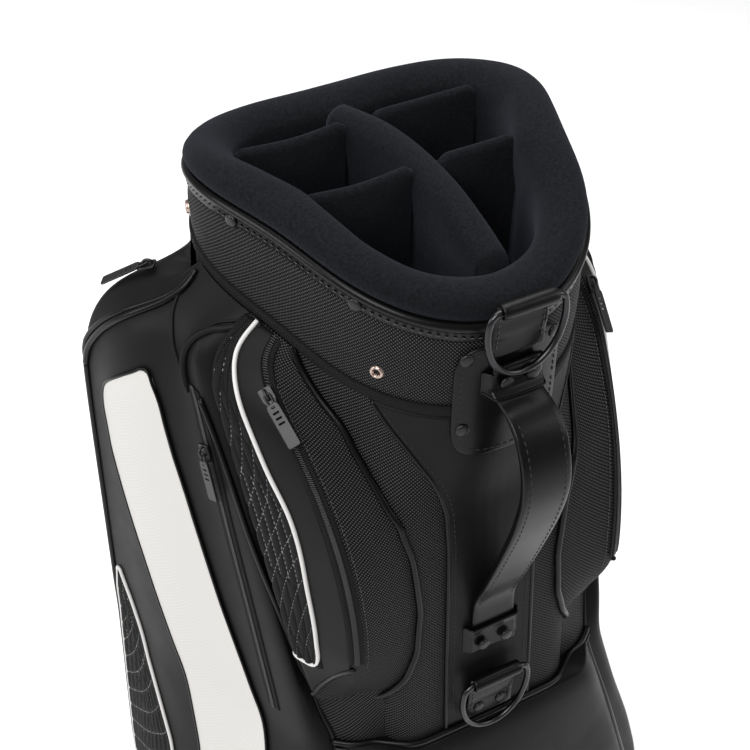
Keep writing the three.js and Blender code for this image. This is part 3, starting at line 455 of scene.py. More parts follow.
# ---- materials -----------------------------------------------------------------------------
class Nodes:
    """A material's node tree with short calls for the nodes used here."""

    def __init__(self, name, base, roughness, metallic=0.0, specular=0.5):
        self.material = bpy.data.materials.new(name)
        self.material.use_nodes = True
        self.tree = self.material.node_tree
        self.shader = self.tree.nodes["Principled BSDF"]
        self.set("Base Color", (*base, 1))
        self.set("Roughness", roughness)
        self.set("Metallic", metallic)
        self.set("Specular IOR Level", specular)

    def set(self, socket, value):
        self.shader.inputs[socket].default_value = value

    def link(self, source, target):
        self.tree.links.new(source, target)

    def node(self, kind, **values):
        made = self.tree.nodes.new(kind)
        for key, value in values.items():
            setattr(made, key, value)
        return made

    def maths(self, operation, a, b=None):
        made = self.node("ShaderNodeMath", operation=operation)
        for socket, value in zip(made.inputs, (a, b)):
            if value is None:
                continue
            if isinstance(value, (int, float)):
                socket.default_value = value
            else:
                self.link(value, socket)
        return made.outputs[0]

    def object_coords(self):
        return self.node("ShaderNodeTexCoord").outputs["Object"]

    def uv(self):
        parts = self.node("ShaderNodeSeparateXYZ")
        self.link(self.node("ShaderNodeTexCoord").outputs["UV"], parts.inputs[0])
        return parts.outputs[0], parts.outputs[1]

    def noise(self, scale, detail):
        made = self.node("ShaderNodeTexNoise")
        made.inputs["Scale"].default_value = scale
        made.inputs["Detail"].default_value = detail
        self.link(self.object_coords(), made.inputs["Vector"])
        return made.outputs[0]

    def voronoi(self, scale):
        made = self.node("ShaderNodeTexVoronoi")
        made.inputs["Scale"].default_value = scale
        self.link(self.object_coords(), made.inputs["Vector"])
        return made.outputs["Distance"]

    def colour_between(self, factor, low, high):
        ramp = self.node("ShaderNodeMix", data_type="RGBA")
        self.link(factor, ramp.inputs["Factor"])
        ramp.inputs[6].default_value = (*low, 1)
        ramp.inputs[7].default_value = (*high, 1)
        self.link(ramp.outputs[2], self.shader.inputs["Base Color"])

    def value_between(self, factor, low, high, socket):
        span = self.maths("MULTIPLY", factor, high - low)
        self.link(self.maths("ADD", span, low), self.shader.inputs[socket])

    def bump(self, height, strength, distance):
        made = self.node("ShaderNodeBump")
        made.inputs["Strength"].default_value = strength
        made.inputs["Distance"].default_value = distance
        self.link(height, made.inputs["Height"])
        self.link(made.outputs[0], self.shader.inputs["Normal"])


GLINT_DOT_SHARPNESS = 4.5                 # how small a weave's light dots are against its dark ground; on the dark weaves these dots are painted thread highlights
PLAIN_GRAIN = 900


def leather_material(name, base, roughness, grain, specular):
    n = Nodes(name, base, roughness, specular=specular)
    fine = n.noise(700, 4)
    cells = n.voronoi(520)
    height = n.maths("ADD", n.maths("MULTIPLY", cells, 0.7), n.maths("MULTIPLY", fine, 0.3))
    n.bump(height, grain, 0.0004)
    n.value_between(n.noise(45, 3), roughness - 0.05, roughness + 0.06, "Roughness")
    return n.material


def weave_material(name, low, high, period, roughness, strength):
    """Woven threads: light dots in diagonal rows, painted into the colour and raised by the bump; on the
    black nylon and twill the light dots are painted thread highlights.
    """
    n = Nodes(name, low, roughness, specular=0.1)
    u, v = n.uv()
    turn = math.pi / period
    one = n.maths("SINE", n.maths("MULTIPLY", n.maths("ADD", u, v), turn))
    two = n.maths("SINE", n.maths("MULTIPLY", n.maths("SUBTRACT", u, v), turn))
    pins = n.maths("ADD", n.maths("MULTIPLY", n.maths("ABSOLUTE", one), 0.75), 0.25)
    height = n.maths("MULTIPLY", n.maths("ABSOLUTE", two), pins)
    n.colour_between(n.maths("POWER", height, GLINT_DOT_SHARPNESS), low, high)
    n.bump(height, strength, 0.0005)
    return n.material


def velour_material(name):
    n = Nodes(name, (0.004, 0.0045, 0.0055), 0.95, specular=0.04)
    n.set("Sheen Weight", 0.05)
    n.set("Sheen Roughness", 0.45)
    n.set("Sheen Tint", (0.55, 0.6, 0.75, 1))
    fine, coarse = n.noise(1100, 3), n.noise(160, 4)
    pile = n.maths("ADD", n.maths("MULTIPLY", fine, 0.6), n.maths("MULTIPLY", coarse, 0.4))
    n.colour_between(n.noise(420, 8), (0.0006, 0.0007, 0.0009), (0.011, 0.0118, 0.0135))
    n.bump(pile, 0.8, 0.0012)
    return n.material


def plain_material(name, base, roughness, metallic=0.0, strength=0.1):
    n = Nodes(name, base, roughness, metallic)
    n.bump(n.noise(PLAIN_GRAIN, 3), strength, 0.0002)
    return n.material


LEATHER = leather_material("black_leather", (0.002, 0.0019, 0.002), 0.42, 0.3, 0.06)
SMOOTH_LEATHER = leather_material("trim_leather", (0.0018, 0.0018, 0.0019), 0.3, 0.12, 0.15)
MATTE_LEATHER = leather_material("matte_leather", (0.0042, 0.004, 0.004), 0.5, 0.15, 0.1)
# the light colour of the nylon and the twill is painted highlight: bright pins on the black weave
NYLON = weave_material("ballistic_nylon", (0.0002, 0.0002, 0.0003), (0.08, 0.08, 0.083), 3.1, 0.65, 0.6)
TWILL = weave_material("fine_twill", (0.0006, 0.0006, 0.0007), (0.03, 0.03, 0.032), 1.8, 0.7, 0.5)
VELOUR = velour_material("velour_pile")
WHITE_LEATHER = weave_material("white_leather", (0.44, 0.43, 0.415), (0.5, 0.488, 0.47), 3.2, 0.5, 0.12)
WHITE_CORD = plain_material("white_cord", (0.48, 0.47, 0.46), 0.6, strength=0.3)
DARK_METAL = plain_material("dark_metal", (0.005, 0.005, 0.0053), 0.4, 0.3)
RING_METAL = plain_material("ring_metal", (0.035, 0.035, 0.037), 0.28, 1.0)
COPPER_METAL = plain_material("snap_metal", (0.4, 0.31, 0.27), 0.28, 1.0)
RIVET_METAL = plain_material("rivet_metal", (0.012, 0.012, 0.0125), 0.34, 0.6)
PLASTIC = plain_material("moulded_plastic", (0.004, 0.004, 0.004), 0.5, strength=0.4)
COIL = plain_material("zip_coil", (0.004, 0.004, 0.0045), 0.45)
DARK_THREAD = plain_material("dark_thread", (0.001, 0.001, 0.0011), 0.7, strength=0.4)
GREY_THREAD = plain_material("grey_thread", (0.045, 0.045, 0.047), 0.75, strength=0.4)
LIGHT_THREAD = plain_material("light_thread", (0.17, 0.17, 0.172), 0.75, strength=0.4)

# ---- cuff and body -------------------------------------------------------------------------
RING_STOPS = 241
PHIS = np.linspace(0, 2 * math.pi, RING_STOPS)


def cuff_xy(phi, offset):
    return around(phi, cuff_radius(phi) + offset, 0)[:2]


def body_xy(phi, level, offset=0.0):
    return around(phi, body_radius(phi, level) + offset, 0)[:2]


def ring_from(name, profile_at, material, slot, *nodes):
    """A ring round the cuff: profile_at(phi) gives its closed section as points."""
    grid = np.array([profile_at(phi) for phi in PHIS])
    grid = np.concatenate([grid, grid[:, :1]], axis=1)
    return on_bag(add_grid(name, grid.transpose(1, 0, 2), material), slot, *nodes)


def on_rim(phi, offset, drop):
    """A place beside the mouth's edge: offset out from the cuff, drop up from the rim's top line."""
    return around(phi, cuff_radius(phi) + offset, rim_height(phi) + drop)


BODY_TOP, BODY_FOOT = SEAM_LEVEL - 0.3, 56.3
cover = np.array([[place(*body_xy(phi, level), level) for phi in PHIS]
                  for level in np.linspace(BODY_TOP, BODY_FOOT, 110)])
on_bag(add_grid("body_fabric", cover, NYLON), "ballistic_nylon", "body_cover")

CUFF_INNER = -5.7                   # where the cuff's cloth meets the collar, in from the cuff's line
HEM_LOW = SEAM_LEVEL
HEM_HIGH = SEAM_LEVEL + 9


def hem_section(phi):
    section = [(CUFF_INNER, HEM_LOW), (4.6, HEM_LOW), (5.6, HEM_LOW + 1.2), (5.9, HEM_LOW + 4.5),
               (5.6, HEM_HIGH - 1.2), (4.6, HEM_HIGH), (CUFF_INNER, HEM_HIGH)]
    return [place(*cuff_xy(phi, offset), level) for offset, level in section]


ring_from("cuff_hem_webbing", hem_section, TWILL, "ballistic_nylon", "cuff_hem")


BAND_DROP = -40
BAND_BOW = 1.6


def band_section(phi):
    low = [place(*cuff_xy(phi, offset), HEM_HIGH + 0.3) for offset in (CUFF_INNER, 3.6)]
    high = on_rim(phi, 4, BAND_DROP)
    face = [mix(low[1], high, t) + around(phi, BAND_BOW * math.sin(math.pi * t), 0)
            for t in np.linspace(0, 1, 14)]
    return [low[0]] + face + [on_rim(phi, CUFF_INNER, BAND_DROP)]


ring_from("cuff_band_fabric", band_section, NYLON, "ballistic_nylon", "cuff_band")

ROLL_CENTRE = (4.2, -27.4)
ROLL_RADIUS = 4.6
roll = [(ROLL_CENTRE[0] + ROLL_RADIUS * math.cos(a), ROLL_CENTRE[1] + ROLL_RADIUS * math.sin(a))
        for a in np.linspace(100, -62, 14) * DEG]
binding = ([(CUFF_INNER, -22.7)] + roll
           + [(5.4, -33), (5.9, -38.6), (5.0, -39.7), (CUFF_INNER, -39.7)])
ring_from("rim_binding_leather", lambda phi: [on_rim(phi, *point) for point in binding], SMOOTH_LEATHER,
          "black_leather", "rim_binding")
flange = stitch_parts(np.array([on_rim(phi, 6.1, -36) for phi in PHIS[:-1]]), 3.2, 3.0, 0.4, closed=True)
on_bag(add_parts("rim_binding_stitches", flange, GREY_THREAD), "black_leather")

COLLAR_LOW, COLLAR_DEEP = -22.4, -150
collar_face = resample([(4, COLLAR_LOW), (6.9, -18.5), (7.6, -13), (5.4, -7), (0, -2.4), (-6.5, -0.3),
                        (-13, 0), (-20, -1.6), (-26.5, -6.5), (-30.5, -15), (-31, -34), (-24.5, -80),
                        (-22, COLLAR_DEEP)], 46)
WELL_SIDE = 24                      # the collar face's points from here on line the wells
COLLAR_BACK = -9.8
COLLAR_EASE_OUT, COLLAR_EASE_UP = 0.5, 0.4      # how far the rim stays inside its solid
PUFF_SHARE = 0.7
FAR_DROP = 5.0
RIGHT_PULL = 2.5
COLLAR_WAVES = ((0.5, 9, 0, 0.9), (0.35, 17, 0.35, 0), (0.3, 5, 0.6, 0))


def far_drop(phi):
    """The padded rim is flatter across the front of the bag."""
    return FAR_DROP * float(smooth((cuff_radius(phi) * math.cos(phi) - 10) / 90))


def collar_section(phi):
    """The padded rim's section: its face with soft puffs, and a straight back inside the cuff."""
    points = []
    for i, (offset, drop) in enumerate(collar_face):
        puff = sum(size * math.sin(waves * phi + step * i + start)
                   for size, waves, step, start in COLLAR_WAVES)
        fade = float(smooth((i - 2) / 8))
        sunk = far_drop(phi) * (float(smooth((drop - COLLAR_LOW) / 16)) if i < WELL_SIDE else 1)
        pull = RIGHT_PULL * float(smooth(math.sin(phi)))
        radius = cuff_radius(phi) + offset - COLLAR_EASE_OUT + puff * fade * PUFF_SHARE - pull
        points.append(around(phi, radius, rim_height(phi) + drop - COLLAR_EASE_UP - sunk))
    return points + [on_rim(phi, COLLAR_BACK, drop) for drop in (COLLAR_DEEP, COLLAR_LOW)]


ring_from("velour_rim", collar_section, VELOUR, "velour", "velour_collar")

# ---- dividers ------------------------------------------------------------------------------
CENTRE_PATH = [[8, -119], [10, -80], [12, -40], [11, 0], [6, 40], [-2, 72], [-6, 88]]
PAD_HALF = 14
CENTRE_DROP, CENTRE_SAG = 14, 3.5
DIVIDER_FOOT = 30
centre_line = resample(CENTRE_PATH, 50)
pad = resample([(0, 0), (6.5, -1.2), (11.5, -5.5), (13.8, -14), (13, -30), (8.5, -55), (4.2, -82)], 16)


def centre_section(i):
    x, y = centre_line[i]
    before, after = centre_line[max(0, i - 1)], centre_line[min(len(centre_line) - 1, i + 1)]
    along = unit(after - before)
    top = saddle(y) - CENTRE_DROP - CENTRE_SAG * math.sin(math.pi * i / (len(centre_line) - 1)) ** 2
    half = [(side, top + drop) for side, drop in pad] + [(4, DIVIDER_FOOT)]
    loop = half + [(-side, z) for side, z in reversed(half[1:])]
    return [np.array([x + along[1] * side, y - along[0] * side, z]) for side, z in loop]


centre = [centre_section(i) for i in range(len(centre_line))]
on_bag(add_bar("centre_divider_velour", centre, VELOUR), "velour", "centre_divider")

CROSS_HALF = 4.6
CROSS_DROP = 17
CROSS_SAG = 1.5
CROSS_BOW = 3
END_DROP = 4
END_REACH = 7                       # how near its ends a cross divider's top edge turns down


def centre_x(y):
    return float(np.interp(y, centre_line[:, 1], centre_line[:, 0]))


def cross_divider(name, y, side):
    inner = centre_x(y) + side * (PAD_HALF - 2)
    low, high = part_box(name)
    outer = (high.x if side > 0 else low.x) / MM + side * 1.5
    rows = []
    for x in np.linspace(inner, outer, 46):
        t = (x - inner) / (outer - inner)
        corner = 1 - float(smooth(min(x - min(inner, outer), max(inner, outer) - x) / END_REACH))
        top = saddle(y) - CROSS_DROP - CROSS_SAG * math.sin(math.pi * t) ** 2 - END_DROP * corner
        drop = [(CROSS_HALF * math.cos(a), CROSS_HALF * 1.5 * (math.sin(a) - 1))
                for a in np.linspace(90, 0, 7) * DEG]
        half = drop + [(CROSS_HALF * 0.8, -30), (2.5, -60)]
        section = [(dy, top + dz) for dy, dz in half] + [(2.5, DIVIDER_FOOT)]
        loop = section + [(-dy, z) for dy, z in reversed(section[1:])]
        bow = CROSS_BOW * side * math.sin(math.pi * t)
        rows.append([np.array([x, y + dy + bow, z]) for dy, z in loop])
    on_bag(add_bar(name + "_velour", rows, VELOUR), "velour", name)


for row_name, row_y in (("front", 66), ("rear", -16)):
    cross_divider(f"cross_divider_{row_name}_left", row_y, -1)
    cross_divider(f"cross_divider_{row_name}_right", row_y, 1)

# ---- pocket shells -------------------------------------------------------------------------
GARMENT_TOP = 777.5
GARMENT_TURN = 752                  # above this level the garment pocket draws in to the cuff
ACCESSORY_TURN = 766                # and above this one the accessory pocket does
HEM_OUT = 5.6
WALL_COLS = 14
FACE_COLS = 60
FRONT_COLS = 18


def soften_columns(grid, corners, reach, passes):
    """Rounds the section near the given columns."""
    weight = np.zeros(grid.shape[1])
    for corner in corners:
        weight = np.maximum(weight, np.clip(1 - np.abs(np.arange(grid.shape[1]) - corner) / reach, 0, 1))
    weight[0] = weight[-1] = 0
    for _ in range(passes):
        average = (np.roll(grid, 1, axis=1) + np.roll(grid, -1, axis=1)) / 2
        grid = grid + (average - grid) * weight[None, :, None] * 0.8
    return grid


def drawn_to_cuff(row, level, from_level):
    """Draws a pocket's row in to the cuff's hem above from_level, then stands it on its tilted level."""
    if level > from_level:
        cuff = np.array([cuff_xy(math.atan2(x, y), HEM_OUT) for x, y in row])
        row = mix(row, cuff, float(smooth((level - from_level) / (GARMENT_TOP - from_level))))
    return np.array([place(x, y, level) for x, y in row])


def garment_row(level):
    read = min(level, GARMENT_TURN)
    edge, front = garment_corners(read)
    foot = body_xy((rows_at(DIVIDE_ANGLE, level)[0] + 0.5) * DEG, level)
    side = np.array(rows_at(LOW_PIPING, level)) if level <= LOW_PIPING[0][0] else mix(foot, edge, 0.6)
    wall = up_to(foot, side, 5) + up_to(side, edge, WALL_COLS - 4)
    face = [garment_face(read, t) for t in np.linspace(0, 1, FACE_COLS)]
    back = on_from(front, body_xy(GARMENT_FRONT_ANGLE * DEG, level), FRONT_COLS)
    return drawn_to_cuff(np.array(wall + face + back), level, read)


garment_levels = np.concatenate([np.linspace(GARMENT_TOP, 640, 34), np.linspace(636, 60, 100)])
garment = np.array([garment_row(level) for level in garment_levels])
edge_col = WALL_COLS - 1
front_col = edge_col + FACE_COLS - 1
garment = soften_columns(garment, [edge_col, front_col], 7, 14)
garment = smooth_rows(garment, 10)
SHOULDER_SKIN = 95.0
TRACK_BEHIND = -25
TRACK_HALF, TRACK_FADE = 20, 10


def under_track(p):
    """Presses a place on the shoulder in so that the zip's arc stands clear of it."""
    v = p - [SHOULDER["x"], SHOULDER["y"], SHOULDER["z"]]
    dx, dy = SHOULDER["dir"]
    ahead, aside = v[:2] @ np.array([dx, dy]), v[:2] @ np.array([dy, -dx])
    radius = math.hypot(ahead, v[2])
    if ahead < TRACK_BEHIND or v[2] < 0 or radius <= SHOULDER_SKIN:
        return p
    press = (radius - SHOULDER_SKIN) * float(smooth((TRACK_HALF - abs(aside)) / TRACK_FADE)) / radius
    return p - press * np.array([dx * ahead, dy * ahead, v[2]])


garment = np.array([[under_track(p) for p in row] for row in garment])


def close_foot(grid, depth):
    """Turns the lowest row in under the pocket."""
    centre = grid[-1].mean(axis=0)
    rows = [grid]
    for t, drop in ((0.04, depth * 0.6), (0.12, depth), (0.5, depth * 1.05), (0.9, depth)):
        rows.append((mix(grid[-1], centre, t) - [0, 0, drop])[None])
    return np.concatenate(rows)


HANDS = (("left", False), ("right", True))


def hand_grid(grid, mirrored):
    return mirror(grid)[:, ::-1] if mirrored else grid


def hand_path(points, mirrored):
    return mirror(points) if mirrored else np.asarray(points, float)


for hand, mirrored in HANDS:
    shell = hand_grid(close_foot(garment, 4), mirrored)
    on_bag(add_grid(f"garment_leather_{hand}", shell, MATTE_LEATHER), "black_leather",
           f"garment_pocket_{hand}")

GUSSET_COLS = 24
RIDGE_FACE_COLS = 44
END_WALL_COLS = 8
NARROW_FROM, NARROW_SPAN = 735, 36  # the accessory pocket narrows to its top over these levels
RIDGE_TOP = np.array([-136.0, -42.0])
END_TOP = np.array([-154.0, -8.0])


def accessory_row(level_at):
    level = min(level_at, ACCESSORY_TURN)
    foot = body_xy(rows_at(FOOT_ANGLE, level)[0] * DEG, level)
    end_foot = body_xy((rows_at(DIVIDE_ANGLE, level)[0] - 0.5) * DEG, level)
    ridge = ridge_at_level(level) if level > RIDGE["z"] else np.array(rows_at(RIDGE_FOOT, level))
    edge = edge_at_level(level)
    end = mix(edge, ridge, EDGE_STRIP / np.linalg.norm(edge - ridge))
    top = float(smooth((level - NARROW_FROM) / NARROW_SPAN))
    ridge, end = mix(ridge, RIDGE_TOP, top * 0.9), mix(end, END_TOP, top)
    gusset = up_to(foot, ridge, GUSSET_COLS)
    across = end - ridge
    out = unit(np.array([-across[1], across[0]])) if np.linalg.norm(across) > 1 else np.zeros(2)
    face = [mix(ridge, end, t) + out * 2.0 * math.sin(math.pi * t)
            for t in np.linspace(0, 1, RIDGE_FACE_COLS)]
    wall = on_from(end, end_foot, END_WALL_COLS)
    return drawn_to_cuff(np.array(gusset + face + wall), level_at, level)


accessory_levels = np.linspace(GARMENT_TOP, 450, 94)
accessory = np.array([accessory_row(level) for level in accessory_levels])
ridge_col = GUSSET_COLS - 1
end_col = ridge_col + RIDGE_FACE_COLS - 1
accessory = soften_columns(accessory, [ridge_col, end_col], 4, 8)
accessory = smooth_rows(accessory, 8)

for hand, mirrored in HANDS:
    shell = hand_grid(close_foot(accessory, 2), mirrored)
    on_bag(add_grid(f"accessory_shell_{hand}", shell, NYLON), "ballistic_nylon", f"accessory_pocket_{hand}")

# ---- places on the shells ------------------------------------------------------------------
class Skin:
    """A shell read by its level and by t across its face, 0 at the first corner and 1 at the last."""

    def __init__(self, grid, skin_levels, first, last):
        self.grid, self.normals = grid, grid_normals(grid)
        self.levels, self.first, self.span = skin_levels, first, last - first

    def at(self, level, t, lift=0.0):
        row = float(np.interp(-level, -self.levels, np.arange(len(self.levels))))
        col = float(np.clip(self.first + t * self.span, 0, self.grid.shape[1] - 1.001))
        r, c = int(min(row, len(self.levels) - 2)), int(col)
        a, b = row - r, col - c

        def read(table):
            return mix(mix(table[r, c], table[r, c + 1], b), mix(table[r + 1, c], table[r + 1, c + 1], b), a)

        return read(self.grid) + unit(read(self.normals)) * lift


garment_skin = Skin(garment, garment_levels, edge_col, front_col)
accessory_skin = Skin(accessory, accessory_levels, ridge_col, end_col)


def on_body(level, degrees, lift=0.0):
    return place(*body_xy(degrees * DEG, level, lift), level)


def patch(at, patch_levels, edges, cols, lift):
    """A grid of places on a skin: edges(level) gives where each row starts and ends."""
    return np.array([[at(level, t, lift) for t in np.linspace(*edges(level), cols)]
                     for level in patch_levels])


FACE_WIDTH = 190.0                  # millimetres for t from 0 to 1 on a pocket's face
DEGREE_WIDTH = 2.6                  # millimetres for one degree round the body


def path_on(at, stops, lift):
    """A route on a skin through stops of [level, t], spread evenly in millimetres."""
    width = DEGREE_WIDTH if at is on_body else FACE_WIDTH
    fine = resample([[level, t * width] for level, t in stops], 150)
    return np.array([at(level, t / width, lift) for level, t in fine])


def piping(name, at, stops, radius, material, slot, mirrored, lift, count=160):
    path = hand_path(path_on(at, stops, lift), mirrored)
    on_bag(add_piping(name, path, radius, material, count), slot)


def edging(name, at, outline, lift, radius, material, slot, mirrored, count, sides=8):
    """A cord sewn all round a patch."""
    path = hand_path(path_on(at, outline, lift), mirrored)
    on_bag(add_piping(name, path, radius, material, count, closed=True, sides=sides), slot)


def stitching(name, at, runs, slot, mirrored, lift, material, length, gap, width):
    parts = []
    for stops in runs:
        parts += stitch_parts(hand_path(path_on(at, stops, lift), mirrored), length, gap, width)
    on_bag(add_parts(name, parts, material), slot)


def outline_of(edges, top, foot, count):
    """The closed edge of a patch: down its first side and up its second."""
    rows = np.linspace(top, foot, count)
    return [[level, edges(level)[0]] for level in rows] + [[level, edges(level)[1]] for level in rows[::-1]]


# ---- garment pocket trim -------------------------------------------------------------------
WHITE_EDGES = [[702, 0.43, 0.47], [698, 0.41, 0.5], [684, 0.38, 0.6], [664, 0.365, 0.72], [655, 0.36, 0.755],
               [640, 0.355, 0.775], [600, 0.335, 0.77], [500, 0.3, 0.66], [410, 0.25, 0.58],
               [300, 0.13, 0.45], [240, 0.11, 0.41], [130, 0.1, 0.38], [112, 0.12, 0.36], [104, 0.17, 0.31]]
SIDE_EDGES = [[432, 0.895, 0.91], [404, 0.84, 0.93], [348, 0.75, 0.94], [313, 0.67, 0.94], [275, 0.58, 0.94],
              [220, 0.52, 0.93], [96, 0.5, 0.9], [86, 0.56, 0.84]]
YOKE_PIPING = [[776, -0.2], [770, -0.14], [766, -0.06], [762, 0.04], [752, 0.13], [740, 0.175], [726, 0.185],
               [712, 0.17]]
CREASE = [[758, 0.56], [750, 0.46], [742, 0.37], [728, 0.27], [716, 0.2], [706, 0.175]]
TOP_ROLL = [[770, 0.63], [762, 0.585], [752, 0.59], [739, 0.64], [723, 0.71], [707, 0.78], [694, 0.83],
            [672, 0.9], [655, 0.93]]
FRONT_ROLL = [[655, 0.93], [620, 0.945], [560, 0.95], [460, 0.955], [300, 0.96], [160, 0.96], [66, 0.955]]
DIVIDE_PIPING = [[712, 0.06], [700, 0.035], [660, -0.005], [600, -0.03], [560, -0.06], [528, -0.095],
                 [456, -0.16], [410, -0.155], [300, -0.153], [168, -0.153], [64, -0.153]]


def beside(stops, up, over):
    """The same route moved up and over."""
    return [[level + up, t + over] for level, t in stops]


GARMENT_TRIM = (
    ("yoke_piping", YOKE_PIPING, 2.9, MATTE_LEATHER, 1.6),
    ("yoke_fold", beside(YOKE_PIPING, 4, 0.012), 1.3, MATTE_LEATHER, 0.8),
    ("crease_ridge", CREASE, 1.5, MATTE_LEATHER, 0.3),
    ("top_roll", TOP_ROLL, 3.0, SMOOTH_LEATHER, 1.2),
    ("top_roll_outer", beside(TOP_ROLL, 3, 0.03), 2.6, SMOOTH_LEATHER, 0.9),
    ("front_roll", FRONT_ROLL, 2.8, SMOOTH_LEATHER, 1.0),
    ("divide_piping", DIVIDE_PIPING, 2.4, SMOOTH_LEATHER, 1.2),
)
QUILT_PITCH = 10.0                  # between the quilt's lines that run down it
QUILT_RISE = 24.0                   # between those that slant across it
QUILT_SLANT = 86.0                  # how far a slanting line rises over the quilt's width
QUILT_FALL = 2.0                    # how near a sewn line the padding falls away


def white_edges(level):
    return rows_at(WHITE_EDGES, level)


def side_edges(level):
    return rows_at(SIDE_EDGES, level)


def puffed(at, patch_levels, edges, cols, lift, puff):
    """A quilted sheet: it rises between its sewn lines, which run down it and slant across it."""
    grid = []
    for level in patch_levels:
        low, high = edges(level)
        width = np.linalg.norm(at(level, high) - at(level, low))
        lines = max(2, round(width / QUILT_PITCH))
        row = []
        for q in np.linspace(0, 1, cols):
            down = abs((q * lines + 0.5) % 1 - 0.5) * width / lines
            slant = abs(((level + QUILT_SLANT * q) / QUILT_RISE + 0.5) % 1 - 0.5) * QUILT_RISE * 0.7
            rise = 1 - math.exp(-min(down, slant) / QUILT_FALL)
            row.append(at(level, mix(low, high, q), lift + puff * rise))
        grid.append(row)
    return np.array(grid)


def quilt_runs(edges, top, foot, lines):
    """The sewn lines of a quilt: straight down it, and slanting across it."""
    rows = np.linspace(top, foot, 30)
    runs = [[[level, mix(*edges(level), k / lines)] for level in rows] for k in range(1, lines)]
    first = math.floor(foot / QUILT_RISE) + 1
    for k in range(first, math.ceil((top + QUILT_SLANT) / QUILT_RISE)):
        run = []
        for q in np.linspace(0, 1, 14):
            level = k * QUILT_RISE - QUILT_SLANT * q
            if foot + 2 < level < top - 2:
                run.append([level, mix(*edges(level), q)])
        if len(run) > 3:
            runs.append(run)
    return runs


for hand, mirrored in HANDS:
    top, foot = WHITE_EDGES[0][0], WHITE_EDGES[-1][0]
    panel = patch(garment_skin.at, np.linspace(top, foot, 150), white_edges, 26, 0.5)
    on_bag(add_plate(f"white_panel_leather_{hand}", hand_grid(panel, mirrored), 1.7, WHITE_LEATHER),
           "white_leather", f"white_panel_{hand}")
    edging(f"white_panel_edge_{hand}", garment_skin.at, outline_of(white_edges, top, foot, 30), 1.9, 1.35,
           SMOOTH_LEATHER, "black_leather", mirrored, 420)
    top, foot = SIDE_EDGES[0][0], SIDE_EDGES[-1][0]
    quilt = puffed(garment_skin.at, np.linspace(top, foot, 120), side_edges, 52, 0.5, 2.0)
    on_bag(add_plate(f"side_panel_quilt_{hand}", hand_grid(quilt, mirrored), 0.9, TWILL), "ballistic_nylon",
           f"side_panel_{hand}")
    stitching(f"side_panel_stitches_{hand}", garment_skin.at, quilt_runs(side_edges, top - 12, foot + 6, 6),
              "ballistic_nylon", mirrored, 1.7, LIGHT_THREAD, 3.0, 1.8, 0.5)
    edging(f"side_panel_piping_{hand}", garment_skin.at, outline_of(side_edges, top, foot, 26), 1.6, 1.7,
           WHITE_CORD, "white_leather", mirrored, 360)
    for name, stops, radius, look, lift in GARMENT_TRIM:
        piping(f"{name}_{hand}", garment_skin.at, stops, radius, look, "black_leather", mirrored, lift)

# ---- accessory pocket trim -----------------------------------------------------------------
WHITE_PIPING = [[777, 0.6], [765, 0.6], [741, 0.58], [696, 0.53], [661, 0.43], [632, 0.42], [585, 0.46],
                [547, 0.48], [530, 0.5]]
QUILT_FOOT = 500
QUILT_TURN = [[515, 0.52], [505, 0.57], [QUILT_FOOT, 0.66], [QUILT_FOOT - 1, 0.8], [QUILT_FOOT, 0.98]]
LEATHER_FOOT = [[517, 0.03], [500, 0.25], [482, 0.5], [466, 0.78], [455, 0.97]]
POCKET_FOOT = 450
GUSSET_HOOK = [[446, 214], [444, 218], [443, 224], [444, 229]]


def leather_edges(level):
    ridge_foot = LEATHER_FOOT[0][0]
    slope = (ridge_foot - level) / (ridge_foot - POCKET_FOOT)
    return [max(0.07, slope), 0.985]


def quilt_edges(level):
    return [rows_at(WHITE_PIPING, max(level, WHITE_PIPING[-1][0]))[0], 0.99]


for hand, mirrored in HANDS:
    face = patch(accessory_skin.at, np.linspace(777, 456, 112), leather_edges, 34, 0.25)
    on_bag(add_plate(f"accessory_leather_{hand}", hand_grid(face, mirrored), 1.1, MATTE_LEATHER),
           "black_leather")
    quilt = puffed(accessory_skin.at, np.linspace(776, QUILT_FOOT, 180), quilt_edges, 52, 1.0, 2.1)
    on_bag(add_plate(f"accessory_quilt_{hand}", hand_grid(quilt, mirrored), 0.9, TWILL), "ballistic_nylon")
    stitching(f"accessory_quilt_stitches_{hand}", accessory_skin.at,
              quilt_runs(quilt_edges, 766, QUILT_FOOT, 5), "ballistic_nylon", mirrored, 2.2, LIGHT_THREAD,
              2.8, 1.8, 0.48)
    piping(f"white_piping_{hand}", accessory_skin.at, WHITE_PIPING + QUILT_TURN, 1.9, WHITE_CORD,
           "white_leather", mirrored, 2.2, 220)
    piping(f"leather_foot_piping_{hand}", accessory_skin.at, LEATHER_FOOT, 2.2, SMOOTH_LEATHER,
           "black_leather", mirrored, 1.2)
    foot = [[level, rows_at(FOOT_ANGLE, level)[0]] for level in np.linspace(777, 452, 24)] + GUSSET_HOOK
    piping(f"gusset_piping_{hand}", on_body, foot, 3.0, SMOOTH_LEATHER, "black_leather", mirrored, 2.2, 260)
    ridge_seam = [[level, -0.1] for level in (752, 700, 640, 580, 530, 512)]
    stitching(f"ridge_stitches_{hand}", accessory_skin.at, [ridge_seam], "ballistic_nylon", mirrored, 0.5,
              GREY_THREAD, 2.4, 1.6, 0.4)

# ---- spine panel, patch and seams ------------------------------------------------------------
PANEL_WIDTHS = [[778, 38], [760, 33], [735, 25.5], [712, 20.5], [690, 17.5], [665, 15.5], [610, 14.4],
                [PANEL_FOOT, 13.6]]
PANEL_THICK = 2.7


def panel_edges(level, inset=0.0):
    half = rows_at(PANEL_WIDTHS, level)[0] - inset
    return [180 - half, 180 + half]


